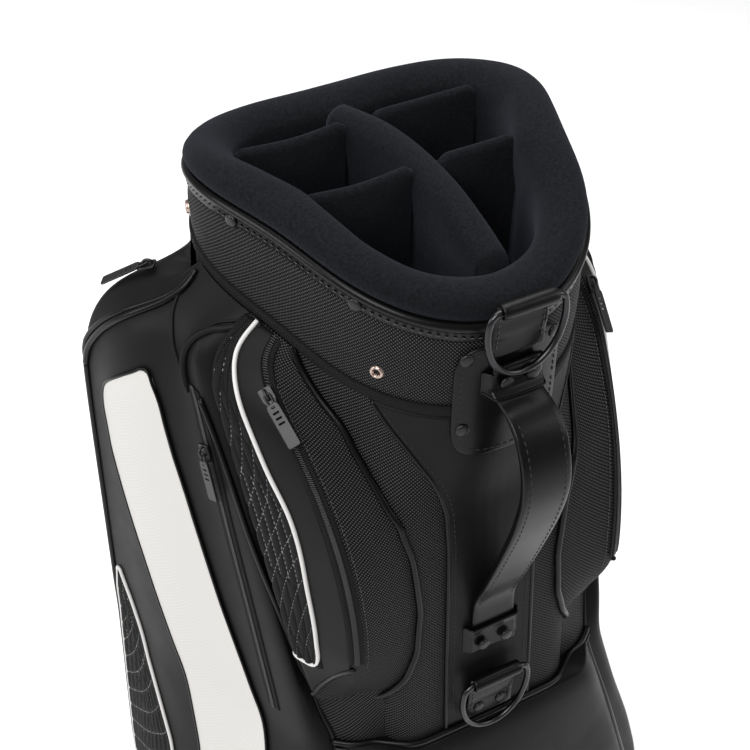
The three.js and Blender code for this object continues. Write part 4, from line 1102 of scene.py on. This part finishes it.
panel = patch(on_body, np.linspace(777, 402, 110), panel_edges, 44, 0.5)
on_bag(add_plate("spine_panel_leather", panel, 2.2, MATTE_LEATHER), "black_leather", "spine_panel")
for side, spot in ((0, "right"), (1, "left")):
    edge_stops = [[level, panel_edges(level)[side]] for level in np.linspace(776, 400, 24)]
    piping(f"spine_panel_edge_{spot}", on_body, edge_stops, 1.9, SMOOTH_LEATHER, "black_leather", False, 2.0)
    seam_stops = [[level, panel_edges(level, 2.2)[side]] for level in np.linspace(772, 404, 24)]
    stitching(f"spine_panel_stitches_{spot}", on_body, [seam_stops], "black_leather", False, 2.8, DARK_THREAD,
              3.6, 2.2, 0.42)

GUSSET_FROM = 211                   # degrees
GUSSET_BOW = 4


def gusset_at(level, t, lift=0.0):
    """A place on the nylon between the body and the garment pocket's piping, t from the body on."""
    start = on_body(level, GUSSET_FROM, 0.6)
    end = garment_skin.at(level, rows_at(DIVIDE_PIPING, level)[0], 0.3)
    out = unit(np.array([start[0] + end[0], start[1] + end[1], 0]))
    return mix(start, end, t) + out * (GUSSET_BOW * math.sin(math.pi * t) + lift)


for k, (level, radius) in enumerate(((398, 2.9), (391, 2.3))):
    half = [on_body(level, degrees, 3.4) for degrees in np.linspace(180, 207, 10)]
    half += [gusset_at(level, t, 2.6) for t in (0.2, 0.4, 0.6, 0.8, 1.0)]
    route = [mirror(point) for point in half[:0:-1]] + half
    on_bag(add_piping(f"lower_seam_piping_{k + 1}", route, radius, SMOOTH_LEATHER, 160), "black_leather")

for hand, mirrored in HANDS:
    gusset = [[gusset_at(level, t) for t in np.linspace(0, 1, 16)] for level in np.linspace(520, 378, 50)]
    on_bag(add_grid(f"low_gusset_{hand}", hand_grid(np.array(gusset), mirrored), NYLON), "ballistic_nylon")

# ---- back pocket ---------------------------------------------------------------------------
BACK_CORNERS = [[396, -112, -173, 1], [385, -116, -176, 5], [350, -130, -172, 13], [300, -146, -168, 20],
                [240, -166, -168, 24], [168, -190, -164, 25], [90, -194, -162, 23], [62, -186, -158, 20]]


TUCK_FROM, TUCK_SPAN, TUCK = 372, 24, 6


def back_row(level):
    """The back pocket's section: a crowned face between two walls that end at the garment pockets' piping."""
    x, y, crown = rows_at(BACK_CORNERS, level)
    end = garment_skin.at(level, rows_at(DIVIDE_PIPING, level)[0], -0.5)[:2]
    ends = [end, end * [-1, 1]]
    x = mix(x, x + TUCK, float(smooth((level - TUCK_FROM) / TUCK_SPAN)))
    face = [np.array([t * -x, y - crown * (1 - t * t)]) for t in np.linspace(-1, 1, 70)]
    row = up_to(ends[0], face[0], 10) + face + on_from(face[-1], ends[1], 10)
    return np.array([place(px, py, level) for px, py in row])


back = np.array([back_row(level) for level in np.linspace(BACK_CORNERS[0][0], BACK_CORNERS[-1][0], 80)])
back = smooth_rows(soften_columns(back, [9, 78], 6, 12), 8)
back = np.concatenate([back[:1] * [0.9, 0.9, 1] + [0, 0, 3], back])
on_bag(add_grid("back_pocket_leather", close_foot(back, 3), LEATHER), "black_leather", "back_pocket")

PATCH_LOW, PATCH_HIGH = 705, 809
PATCH_HALF = 46
PATCH_IN = 6.1
PATCH_THICK = 2.1
PATCH_SQUARENESS = 0.42             # 1 gives an ellipse, 0 a rectangle


def on_patch(x, z, lift):
    """A place on the cuff at the spine, x along the curve and z up, standing off past the rim binding."""
    angle = SPINE - x / (cuff_radius(SPINE) + PATCH_IN)
    return around(angle, cuff_radius(angle) + PATCH_IN + lift, z)


PATCH_MIDDLE = (PATCH_LOW + PATCH_HIGH) / 2
PATCH_TALL = (PATCH_HIGH - PATCH_LOW) / 2


def patch_ring(half_x, half_z, lift, count):
    """A rounded square on the cuff, standing off by lift."""
    turn = np.linspace(0, 2 * math.pi, count, endpoint=False)
    across = half_x * squared_wave(np.cos(turn), PATCH_SQUARENESS)
    up = PATCH_MIDDLE + half_z * squared_wave(np.sin(turn), PATCH_SQUARENESS)
    return [on_patch(x, z, lift) for x, z in zip(across, up)]


rings = [patch_ring(PATCH_HALF * scale, PATCH_TALL * scale, lift, 96) for scale, lift in
         ((1, 0.2), (1, PATCH_THICK - 0.5), (0.985, PATCH_THICK - 0.1), (0.96, PATCH_THICK),
          (0.6, PATCH_THICK), (0.05, PATCH_THICK))]
on_bag(add_grid("spine_patch_leather", np.array(rings)[:, ::-1], SMOOTH_LEATHER, wrap_cols=True),
       "black_leather", "spine_patch")
inner = np.array(patch_ring(PATCH_HALF - 5, PATCH_TALL - 5, PATCH_THICK + 0.1, 60))
on_bag(add_parts("spine_patch_stitches", stitch_parts(inner, 3.6, 2.2, 0.45, closed=True), DARK_THREAD),
       "black_leather")


# ---- straps --------------------------------------------------------------------------------
STRAP_EDGE = 0.22                   # how square a strap's section is across its width


def spread(values, count):
    """Values spread evenly along a strap, read at count places."""
    return np.interp(np.linspace(0, 1, count), np.linspace(0, 1, len(values)), values)


def strap(name, route, halves, thicks, material, count, sides, face=0.6):
    """A flat strap along a route of [y, z], with rounded edges; widths and thicknesses run along it."""
    path = resample(route, count)
    turn = np.linspace(0, 2 * math.pi, sides, endpoint=False)
    across = squared_wave(np.cos(turn), STRAP_EDGE)
    depth = squared_wave(np.sin(turn), face)
    rows = []
    for (y, z), (ty, tz), half, thick in zip(path, directions(path), spread(halves, count),
                                             spread(thicks, count) / 2):
        rows.append([[half * a, y - tz * thick * d, z + ty * thick * d] for a, d in zip(across, depth)])
    return add_bar(name, rows, material)


def strap_line(route, x, lift, count):
    path = resample(route, count)
    return np.array([[x, y - tz * lift, z + ty * lift] for (y, z), (ty, tz) in zip(path, directions(path))])


patch_face = -(float(cuff_radius(SPINE)) + PATCH_IN + PATCH_THICK)


def panel_face(z):
    return -(spine_depth(z) + CROWN + PANEL_THICK)


STRAP_THICK = 4.4
REST = STRAP_THICK / 2 + 0.3
HANDLE_PATH = [[patch_face - REST, 791], [patch_face - REST, 780], [patch_face - REST - 0.9, 772.5],
               [-176.5, 765], [-191, 760], [-205, 748], [-214.5, 727], [-217.5, 703], [-212, 671],
               [-197, 623], [-180, 575],
               [panel_face(540) - REST - 2.6, 543], [panel_face(520) - REST - 0.6, 520],
               [panel_face(505) - REST, 505], [panel_face(490) - REST, 490]]
HANDLE_HALVES = (20, 20, 21, 21, 21, 20.5, 20, 19.5, 19.5, 20, 20)
HANDLE_THICKS = (4.2, 4.4, 6.4, 7.6, 8.0, 7.6, 6.8, 6.0, 5.2, 4.4, 4.2)
HANDLE_STOPS = 110
handle = strap("carry_handle_leather", HANDLE_PATH, HANDLE_HALVES, HANDLE_THICKS, SMOOTH_LEATHER,
               HANDLE_STOPS, 40, face=0.5)
on_bag(handle, "black_leather", "carry_handle")
handle_seams = []
skin_lift = spread(HANDLE_THICKS, HANDLE_STOPS)[:, None] / 2 + 0.05
for x in (-15.5, 15.5):
    for way in (1, -1):
        middle = strap_line(HANDLE_PATH, x, 0.0, HANDLE_STOPS)
        out = strap_line(HANDLE_PATH, x, 1.0, HANDLE_STOPS) - middle
        handle_seams += stitch_parts((middle + out * skin_lift * way)[16:94], 3.8, 2.4, 0.5)
on_bag(add_parts("carry_handle_stitches", handle_seams, DARK_THREAD), "black_leather")


KEEPER_HALF = 26.5
WRAP_HALF = 29
KEEPER_SLOPE = 5.5                  # over this width the bridge rises from its sewn edge to the strap


def keeper(name, face_at, rows, wrap, node):
    """A leather bridge sewn over a strap's end; rows of [z, lift of its arch]."""
    table = np.array(rows, float)
    grid = []
    for z in np.linspace(table[0, 0], table[-1, 0], 24):
        lift = float(np.interp(z, table[:, 0], table[:, 1]))
        over = STRAP_THICK + 0.5 + lift
        row = []
        for x in np.linspace(-KEEPER_HALF, KEEPER_HALF, 60):
            arch = float(smooth((KEEPER_HALF - 0.5 - abs(x)) / KEEPER_SLOPE))
            row.append([x, face_at(z) + wrap * (abs(x) / WRAP_HALF) ** 2 - 0.1 - over * arch, z])
        grid.append(row)
    grid = np.array(grid)
    piece = add_plate(name, grid, 1.2, SMOOTH_LEATHER, -1)
    slit = 0 if rows[0][1] > rows[-1][1] else -1        # the end where the strap comes out
    lip = resample(grid[slit] + [0, -0.6, 0], 90)
    on_bag(piece, "black_leather", node)
    on_bag(add_parts(name + "_lip", [tube_parts(lip, 0.8, 8)], SMOOTH_LEATHER), "black_leather")


keeper("handle_keeper_top_leather", lambda z: patch_face, [[768, 7], [771.5, 1.9], [774, 0.6], [786, 0]], 2.2,
       "handle_keeper_top")
keeper("handle_keeper_bottom_leather", panel_face, [[486, 0], [507, 0.3], [514, 2]], -0.4,
       "handle_keeper_bottom")

UPPER_BAR = (-176.2, 848)
LOWER_BAR = (-181.5, 456)
LOOP_RADIUS = 4.8
LOOP_HALF = 23
LOOP_STOPS = 90


def ring_loop(name, bar, face, tail_end, node):
    """A leather strap sewn down by its tail and turned round a ring's bar."""
    tail = face - 1.5
    route = [[tail, tail_end], [tail, bar[1] - 36], [tail - 1.2, bar[1] - 27], [tail - 1.3, bar[1] - 14]]
    for turn in np.linspace(8, 262, 13) * DEG:
        route.append([bar[0] + LOOP_RADIUS * math.cos(turn), bar[1] + LOOP_RADIUS * math.sin(turn)])
    on_bag(strap(name, route, (LOOP_HALF,), (2.3, 2.4, 3.0, 3.0), SMOOTH_LEATHER, LOOP_STOPS, 36),
           "black_leather", node)
    seams = []
    for x in (-LOOP_HALF + 4, LOOP_HALF - 4):
        seams += stitch_parts(strap_line(route, x, 1.55, LOOP_STOPS)[8:86], 3.2, 2.0, 0.45)
    on_bag(add_parts(name + "_stitches", seams, GREY_THREAD), "black_leather")


ring_loop("upper_ring_loop_leather", UPPER_BAR, patch_face, 800, "upper_ring_loop")
ring_loop("lower_ring_loop_leather", LOWER_BAR, panel_face(405), 405, "lower_ring_loop")

RING_WIRE = 2.6
RING_ROUTE = [[0, 0], [14, 0], [25, -0.4], [30, -4], [32.4, -13], [31.8, -27], [26, -44], [14, -56.5],
              [0, -60.5]]
for body, bar in (("upper_ring", UPPER_BAR), ("lower_ring", LOWER_BAR)):
    half = [[-x, z] for x, z in reversed(RING_ROUTE[1:-1])]
    points = [[x, bar[0], bar[1] + z] for x, z in RING_ROUTE + half]
    ring = add_piping(body + "_wire", points, RING_WIRE, RING_METAL, 150, closed=True, sides=18)
    ride(ring, body, "dark_metal", body)


# ---- rivets and studs ----------------------------------------------------------------------
RIVET_DEPTH, STUD_DEPTH = 1.25, 2.7  # from the middle of the CAD solid down to the piece's foot


def turned(name, profile, centre, out, material, slot, node, count=32):
    """A turned piece standing on centre, its profile of [radius, height] along out."""
    out = unit(out)
    side = unit(np.cross(out, [0, 0, 1]))
    top = np.cross(side, out)
    grid = [[centre + out * height + radius * (math.cos(a) * side + math.sin(a) * top)
             for a in np.linspace(0, 2 * math.pi, count, endpoint=False)] for radius, height in profile]
    piece = add_grid(name, np.array(grid)[:, ::-1], material, wrap_cols=True)
    return on_bag(piece, slot, node)


RIVET = [[0.05, -0.3], [5.4, -0.3], [5.4, 0.4], [5.1, 1.0], [4.5, 1.4], [3.2, 1.75], [1.6, 1.9], [0.05, 1.95]]
STUD = [[0.05, -0.3], [7.6, -0.3], [7.8, 0.5], [7.4, 1.1], [6.4, 1.3], [5.8, 1.2], [5.4, 2.6],
        [4.9, 3.5], [4.2, 3.8], [3.4, 3.6], [3.0, 3.0], [2.8, 1.2], [0.05, 1.1]]


def centre_of(node):
    low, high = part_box(node)
    return np.array([(a + b) / 2 / MM for a, b in zip(low, high)])


def facing(centre):
    """The way the cuff faces beside a place, level with the floor."""
    phi = math.atan2(centre[0], centre[1])
    step = np.array(cuff_xy(phi + 0.01, 0)) - np.array(cuff_xy(phi - 0.01, 0))
    return unit([-step[1], step[0], 0])


for node in [name for name in frame["nodes"] if "rivet" in name]:
    centre = centre_of(node)
    on_flat = node.startswith("handle_rivet") or node.startswith("ring_loop")
    out = np.array([0, -1.0, 0]) if on_flat else facing(centre)
    turned(node + "_cap", RIVET, centre - out * RIVET_DEPTH, out, RIVET_METAL, "dark_metal", node)
for node in ("hood_stud_rear", "hood_stud_side"):
    centre = centre_of(node)
    out = facing(centre)
    turned(node + "_cap", STUD, centre - out * STUD_DEPTH, out, COPPER_METAL, "snap_metal", node, 40)


# ---- zips ----------------------------------------------------------------------------------
TOOTH_PITCH = 1.5
TAPE_READ = 4.0                     # how far to each side the skin is read for the tape's tilt


def zip_tape(name, at, stops, slot, mirrored, half, lift=0.6, node=None, mm_per_t=FACE_WIDTH):
    """A zip's two woven tapes with its coil between them, along a route on a skin."""
    fine = resample(stops, 140)
    reach = TAPE_READ / mm_per_t
    middle = np.array([at(level, t) for level, t in fine])
    across = np.array([unit(at(level, t + reach) - at(level, t - reach)) for level, t in fine])
    normal = np.cross(across, directions(middle))
    profile = [(-half, 0.0), (-half, lift), (-half + 1, lift + 0.5), (-3, lift + 0.5), (-2.4, lift + 0.2),
               (2.4, lift + 0.2), (3, lift + 0.5), (half - 1, lift + 0.5), (half, lift), (half, 0.0)]
    grid = np.array([[m + a * side + n * up for side, up in profile]
                     for m, a, n in zip(middle, across, normal)])
    piece = add_grid(name, hand_grid(grid, mirrored), TWILL)
    on_bag(piece, slot, *([node] if node else []))
    length = np.linalg.norm(np.diff(middle, axis=0), axis=1).sum()
    teeth = []
    for s in np.linspace(0, len(middle) - 1.001, int(length / TOOTH_PITCH)):
        k = int(s)
        m, a, n = (mix(table[k], table[k + 1], s - k) for table in (middle, across, normal))
        ends = [m + a * side + n * (lift + 0.75) for side in (-2.1, -1.4, 1.4, 2.1)]
        teeth.append(tube_parts(hand_path(ends, mirrored), 0.5, 6))
    on_bag(add_parts(name + "_coil", teeth, COIL), "zip_coil")


GARMENT_ZIP = [[716, 0.118], [704, 0.105], [570, 0.131], [430, 0.158], [415, 0.16]]
RIDGE_ZIP = [[776, 0.0], [766, 0.0], [700, 0.0], [640, 0.0], [580, 0.0], [524, 0.0]]
for hand, mirrored in HANDS:
    track = f"zip_track_garment_{hand}"
    zip_tape(f"garment_zip_{hand}", garment_skin.at, GARMENT_ZIP, "zip_coil", mirrored, half=7.5,
             node=track if track in frame["nodes"] else None)
    zip_tape(f"accessory_zip_{hand}", accessory_skin.at, RIDGE_ZIP, "zip_coil", mirrored, half=6.5, lift=0.4,
             node=f"zip_track_accessory_{hand}", mm_per_t=90.0)


def flat_plate(name, outlines, depth, bevel, material, matrix):
    """A thin plate with rounded rims from closed outlines; inner outlines are its slots."""
    curve = bpy.data.curves.new(name, "CURVE")
    curve.dimensions = "2D"
    curve.fill_mode = "BOTH"
    curve.extrude = (depth / 2 - bevel) * MM
    curve.bevel_depth = bevel * MM
    curve.bevel_resolution = 2
    for outline in outlines:
        spline = curve.splines.new("POLY")
        spline.points.add(len(outline) - 1)
        for point, (x, y) in zip(spline.points, outline):
            point.co = (x * MM, y * MM, 0, 1)
        spline.use_cyclic_u = True
    holder = bpy.data.objects.new(name + "_curve", curve)
    bpy.context.scene.collection.objects.link(holder)
    bpy.context.view_layer.update()
    mesh = bpy.data.meshes.new_from_object(holder)
    bpy.data.objects.remove(holder)
    mesh.transform(matrix)
    mesh.materials.clear()
    mesh.materials.append(material)
    piece = bpy.data.objects.new(name, mesh)
    bpy.context.scene.collection.objects.link(piece)
    return piece


def frame_matrix(origin, along, across, out):
    matrix = Matrix.Identity(4)
    for k in range(3):
        matrix[k][0], matrix[k][1], matrix[k][2] = along[k], across[k], out[k]
        matrix[k][3] = origin[k] * MM
    return matrix


PIN_ALONG, PIN_OUT = -2, 6.4        # the puller's pin from the middle of the slider's foot
ZIPS = ("garment_left", "accessory_left", "accessory_right", "shoulder_left", "ball_pocket")
joints = {joint["name"]: joint for joint in frame["record"]["behaviour"]["joints"]}


def zip_frame(zip_name):
    """Reads the slider's frame off its joints: the puller's pin runs across, the track gives along."""
    pin = joints["puller_" + zip_name]
    place_mm = np.array(pin["pos_m"]) / MM
    across = -unit(pin["axis"])
    travel = next(joint for joint in joints.values() if joint["child"] == "slider_" + zip_name)
    if travel["type"] == "slide":
        along = unit(travel["axis"])
    else:
        along = unit(np.cross(travel["axis"], place_mm - np.array(travel["pos_m"]) / MM))
    along = unit(along - across * (along @ across))
    return place_mm, along, across, np.cross(along, across)


def rounded_box(length, width, radius, shift):
    points = []
    for cx, cy, start in ((length / 2, width / 2, 0), (-length / 2, width / 2, 90),
                          (-length / 2, -width / 2, 180), (length / 2, -width / 2, 270)):
        for a in np.linspace(start, start + 90, 4) * DEG:
            points.append((shift + cx - math.copysign(radius, cx) + radius * math.cos(a),
                           cy - math.copysign(radius, cy) + radius * math.sin(a)))
    return points


def slider_piece(zip_name):
    pin, along, across, out = zip_frame(zip_name)
    base = pin - along * PIN_ALONG - out * PIN_OUT
    body = [(-7.2, -4.4), (-6.2, -5.0), (2, -5.0), (6.6, -3.4), (7.4, 0), (6.6, 3.4), (2, 5.0), (-6.2, 5.0),
            (-7.2, 4.4)]
    plate = flat_plate(f"zip_slider_{zip_name}_body", [body], 2.3, 0.55, DARK_METAL,
                       frame_matrix(base + out * 2.95, along, across, out))
    arch = ((-6.0, 3.4), (-5.4, 6.6), (-3.4, 7.9), (-0.6, 7.9), (1.4, 6.6), (2.4, 3.6))
    bridge = [base + along * a + out * o for a, o in arch]
    rail = add_piping(f"zip_slider_{zip_name}_bridge", bridge, 1.15, DARK_METAL, 28, sides=12)
    ride(plate, "slider_" + zip_name, "dark_metal", f"zip_slider_{zip_name}")
    ride(rail, "slider_" + zip_name, "dark_metal")


SHOULDER_DROOP = 14 * DEG


def puller_piece(zip_name):
    pin, along, across, out = zip_frame(zip_name)
    droop = SHOULDER_DROOP if zip_name.startswith("shoulder") else 0.0
    along, out = (along * math.cos(droop) - out * math.sin(droop),
                  out * math.cos(droop) + along * math.sin(droop))
    outer = [(8.2, -3.1), (9.4, -4.2), (12, -4.7), (43, -4.8), (44, -3.9), (44, 3.9), (43, 4.8), (12, 4.7),
             (9.4, 4.2), (8.2, 3.1)]
    slots = [rounded_box(2.0, 5.6, 0.7, shift) for shift in (15.6, 20.0, 24.4)]
    eye = rounded_box(2.2, 3.4, 0.8, 10.9)
    plate = flat_plate(f"zip_puller_{zip_name}_plate", [outer] + slots + [eye], 1.9, 0.45, DARK_METAL,
                       frame_matrix(pin, along, across, out))
    loop = ((-1.0, 0), (0.2, 1.9), (4, 2.3), (9, 1.7), (10.9, 0), (9, -1.7), (4, -2.3), (0.2, -1.9))
    link = [pin + along * a + across * b for a, b in loop]
    ring = add_piping(f"zip_puller_{zip_name}_link", link, 0.85, DARK_METAL, 60, closed=True, sides=12)
    ride(plate, "puller_" + zip_name, "dark_metal", f"zip_puller_{zip_name}")
    ride(ring, "puller_" + zip_name, "dark_metal")


for zip_name in ZIPS:
    slider_piece(zip_name)
    puller_piece(zip_name)

# ---- front pockets -------------------------------------------------------------------------
FRONT_CROWN = 12
BALL_CORNERS = [[440, -104, 168], [425, -128, 190], [400, -140, 202], [372, -146, 206], [110, -146, 206],
                [74, -138, 198], [60, -128, 188]]
CHEST_CORNERS = [[752, -70, 142], [720, -88, 162], [660, -96, 172], [560, -98, 176], [470, -98, 176],
                 [456, -90, 166]]
BALL_WIDTH = 292.0
BALL_ZIP_X = 100
FRONT_FACE_COLS = 70
FRONT_SIDE_COLS = 14


def front_pocket(corners_table, angle, pocket_levels):
    rows = []
    for level in pocket_levels:
        x, y = rows_at(corners_table, level)
        ends = [body_xy(a * DEG, level) for a in (-angle, angle)]
        face = [np.array([t * -x, y + FRONT_CROWN * (1 - t * t)])
                for t in np.linspace(-1, 1, FRONT_FACE_COLS)]
        row = up_to(ends[0], face[0], FRONT_SIDE_COLS) + face + on_from(face[-1], ends[1], FRONT_SIDE_COLS)
        rows.append([place(px, py, level) for px, py in row])
    grid = soften_columns(np.array(rows), [FRONT_SIDE_COLS - 1, FRONT_SIDE_COLS + FRONT_FACE_COLS - 2], 7, 16)
    return smooth_rows(grid, 10)


for pocket_name, table, angle, look, slot in (
        ("ball_pocket", BALL_CORNERS, 40, LEATHER, "black_leather"),
        ("chest_pocket", CHEST_CORNERS, 38, NYLON, "ballistic_nylon")):
    pocket_levels = np.linspace(table[0][0], table[-1][0], 90)
    grid = front_pocket(table, angle, pocket_levels)
    capped = close_foot(grid, 2)
    capped = close_foot(capped[::-1], -2)[::-1]
    shell = on_bag(add_grid(pocket_name + "_shell", capped, look), slot, pocket_name)
    skin = Skin(grid, pocket_levels, FRONT_SIDE_COLS - 1, FRONT_SIDE_COLS + FRONT_FACE_COLS - 2)
    top, foot = table[0][0] - 10, table[-1][0] + 12
    rim = outline_of(lambda level: [0.02, 0.98], top, foot, 20)
    edging(pocket_name + "_piping", skin.at, rim, 0.8, 2.3, SMOOTH_LEATHER, "black_leather", False, 300, 10)
    if pocket_name == "ball_pocket":
        zip_t = 0.5 + BALL_ZIP_X / BALL_WIDTH
        zip_tape("ball_pocket_zip", skin.at, [[372, zip_t], [250, zip_t], [112, zip_t]], "zip_coil", False,
                 half=7.5, mm_per_t=BALL_WIDTH)

# ---- sheets --------------------------------------------------------------------------------------
# Each sheet: the width and length it was cut to in metres, the area of that cut in square metres, how it is
# held where that differs, and what it lies on.
HAND_SHEETS = {
    "white_panel_leather": (0.105, 0.64, 0.053, "garment_leather"),
    "side_panel_quilt": (0.13, 0.36, 0.030, "garment_leather"),
    "accessory_leather": (0.075, 0.34, 0.020, "accessory_shell"),
    "accessory_quilt": (0.055, 0.285, 0.0122, "accessory_leather"),
    "low_gusset": (0.07, 0.132, 0.0089, "body_cover"),
    "garment_zip": (0.016, 0.31, 0.0049, "garment_leather"),
    "accessory_zip": (0.014, 0.26, 0.0036, "accessory_shell"),
}
LONE_SHEETS = {
    "body_fabric": (0.99, 0.75, 0.74, "stretched", "body_cover"),
    "cuff_band_fabric": (0.10, 0.93, 0.093, "stretched", "club_tube"),
    "cuff_hem_webbing": (0.032, 0.94, 0.030, "folded", "body_fabric"),
    "rim_binding_leather": (0.05, 0.94, 0.047, "folded", "cuff_band_fabric"),
    "spine_panel_leather": (0.19, 0.385, 0.034, "stretched", "body_fabric"),
    "spine_patch_leather": (0.092, 0.104, 0.0092, "stretched", "cuff_band_fabric"),
    "upper_ring_loop_leather": (0.046, 0.076, 0.0035, "folded", "spine_patch_leather"),
    "lower_ring_loop_leather": (0.046, 0.076, 0.0035, "folded", "spine_panel_leather"),
    "handle_keeper_top_leather": (0.056, 0.022, 0.00123, "stretched", "spine_patch_leather"),
    "handle_keeper_bottom_leather": (0.058, 0.028, 0.0016, "stretched", "spine_panel_leather"),
    "ball_pocket_zip": (0.016, 0.26, 0.0042, "stretched", "ball_pocket_shell"),
}
for hand, _ in HANDS:
    for name, (width, length, area, under) in HAND_SHEETS.items():
        min(area, width * length)
for name, (width, length, area, held, under) in LONE_SHEETS.items():
    min(area, width * length)

# ---- stage: floor, light, camera --------------------------------------------------------------
scene = bpy.context.scene
FLOOR_HALF = 6.0
floor_mesh = bpy.data.meshes.new("floor")
corners = [(-FLOOR_HALF, -FLOOR_HALF, 0), (FLOOR_HALF, -FLOOR_HALF, 0), (FLOOR_HALF, FLOOR_HALF, 0),
           (-FLOOR_HALF, FLOOR_HALF, 0)]
floor_mesh.from_pydata(corners, [], [(0, 1, 2, 3)])
floor_mesh.materials.append(plain_material("pale_floor", (0.93, 0.93, 0.93), 0.9, strength=0.0))
floor = bpy.data.objects.new("floor", floor_mesh)
scene.collection.objects.link(floor)

WORLD_LIGHT = 0.3
world = bpy.data.worlds.new("studio")
world.use_nodes = True
world.node_tree.nodes["Background"].inputs[0].default_value = (1, 1, 1, 1)
world.node_tree.nodes["Background"].inputs[1].default_value = WORLD_LIGHT
scene.world = world
scene.view_settings.view_transform = "Standard"


def area_light(name, place_m, target_m, size, power):
    light = bpy.data.lights.new(name, "AREA")
    light.shape = "RECTANGLE"
    light.size, light.size_y = size
    light.energy = power
    lamp = bpy.data.objects.new(name, light)
    lamp.location = place_m
    lamp.rotation_euler = (Vector(target_m) - Vector(place_m)).to_track_quat("-Z", "Y").to_euler()
    scene.collection.objects.link(lamp)


area_light("key", (-1.6, -1.2, 2.6), (0, 0, 0.6), (1.6, 1.6), 74)
area_light("fill", (1.8, -1.4, 1.8), (0, 0, 0.5), (1.2, 1.8), 26)
area_light("side", (-2.4, 0.7, 1.5), (-0.15, 0, 0.65), (1.2, 1.4), 34)
area_light("top", (0.2, 0.6, 2.8), (0, 0, 0.6), (2.2, 2.2), 70)

CAMERA_AZIMUTH = -30.3386 * DEG
CAMERA_ELEVATION = 40 * DEG
CAMERA_ROLL = 1.2095 * DEG
CAMERA_LENS, CAMERA_SENSOR = 76.8, 36
CAMERA_PLACE = Vector((-0.5341, -0.8804, 1.5169))
back_way = Vector((math.sin(CAMERA_AZIMUTH) * math.cos(CAMERA_ELEVATION),
                   -math.cos(CAMERA_AZIMUTH) * math.cos(CAMERA_ELEVATION), math.sin(CAMERA_ELEVATION)))
level_right = Vector((math.cos(CAMERA_AZIMUTH), math.sin(CAMERA_AZIMUTH), 0))
level_up = back_way.cross(level_right)
right = math.cos(CAMERA_ROLL) * level_right + math.sin(CAMERA_ROLL) * level_up
up = -math.sin(CAMERA_ROLL) * level_right + math.cos(CAMERA_ROLL) * level_up
camera_data = bpy.data.cameras.new("camera")
camera_data.lens = CAMERA_LENS
camera_data.sensor_width = CAMERA_SENSOR
camera = bpy.data.objects.new("camera", camera_data)
scene.collection.objects.link(camera)
matrix = camera.matrix_world.copy()
for k in range(3):
    matrix[k][0], matrix[k][1], matrix[k][2], matrix[k][3] = right[k], up[k], back_way[k], CAMERA_PLACE[k]
camera.matrix_world = matrix
scene.camera = camera

# The tube and the base are shown as their own CAD solids.
for name in ("club_tube", "base_pan"):
    slots = frame["nodes"][name].data.materials
    slots.clear()
    slots.append(PLASTIC)
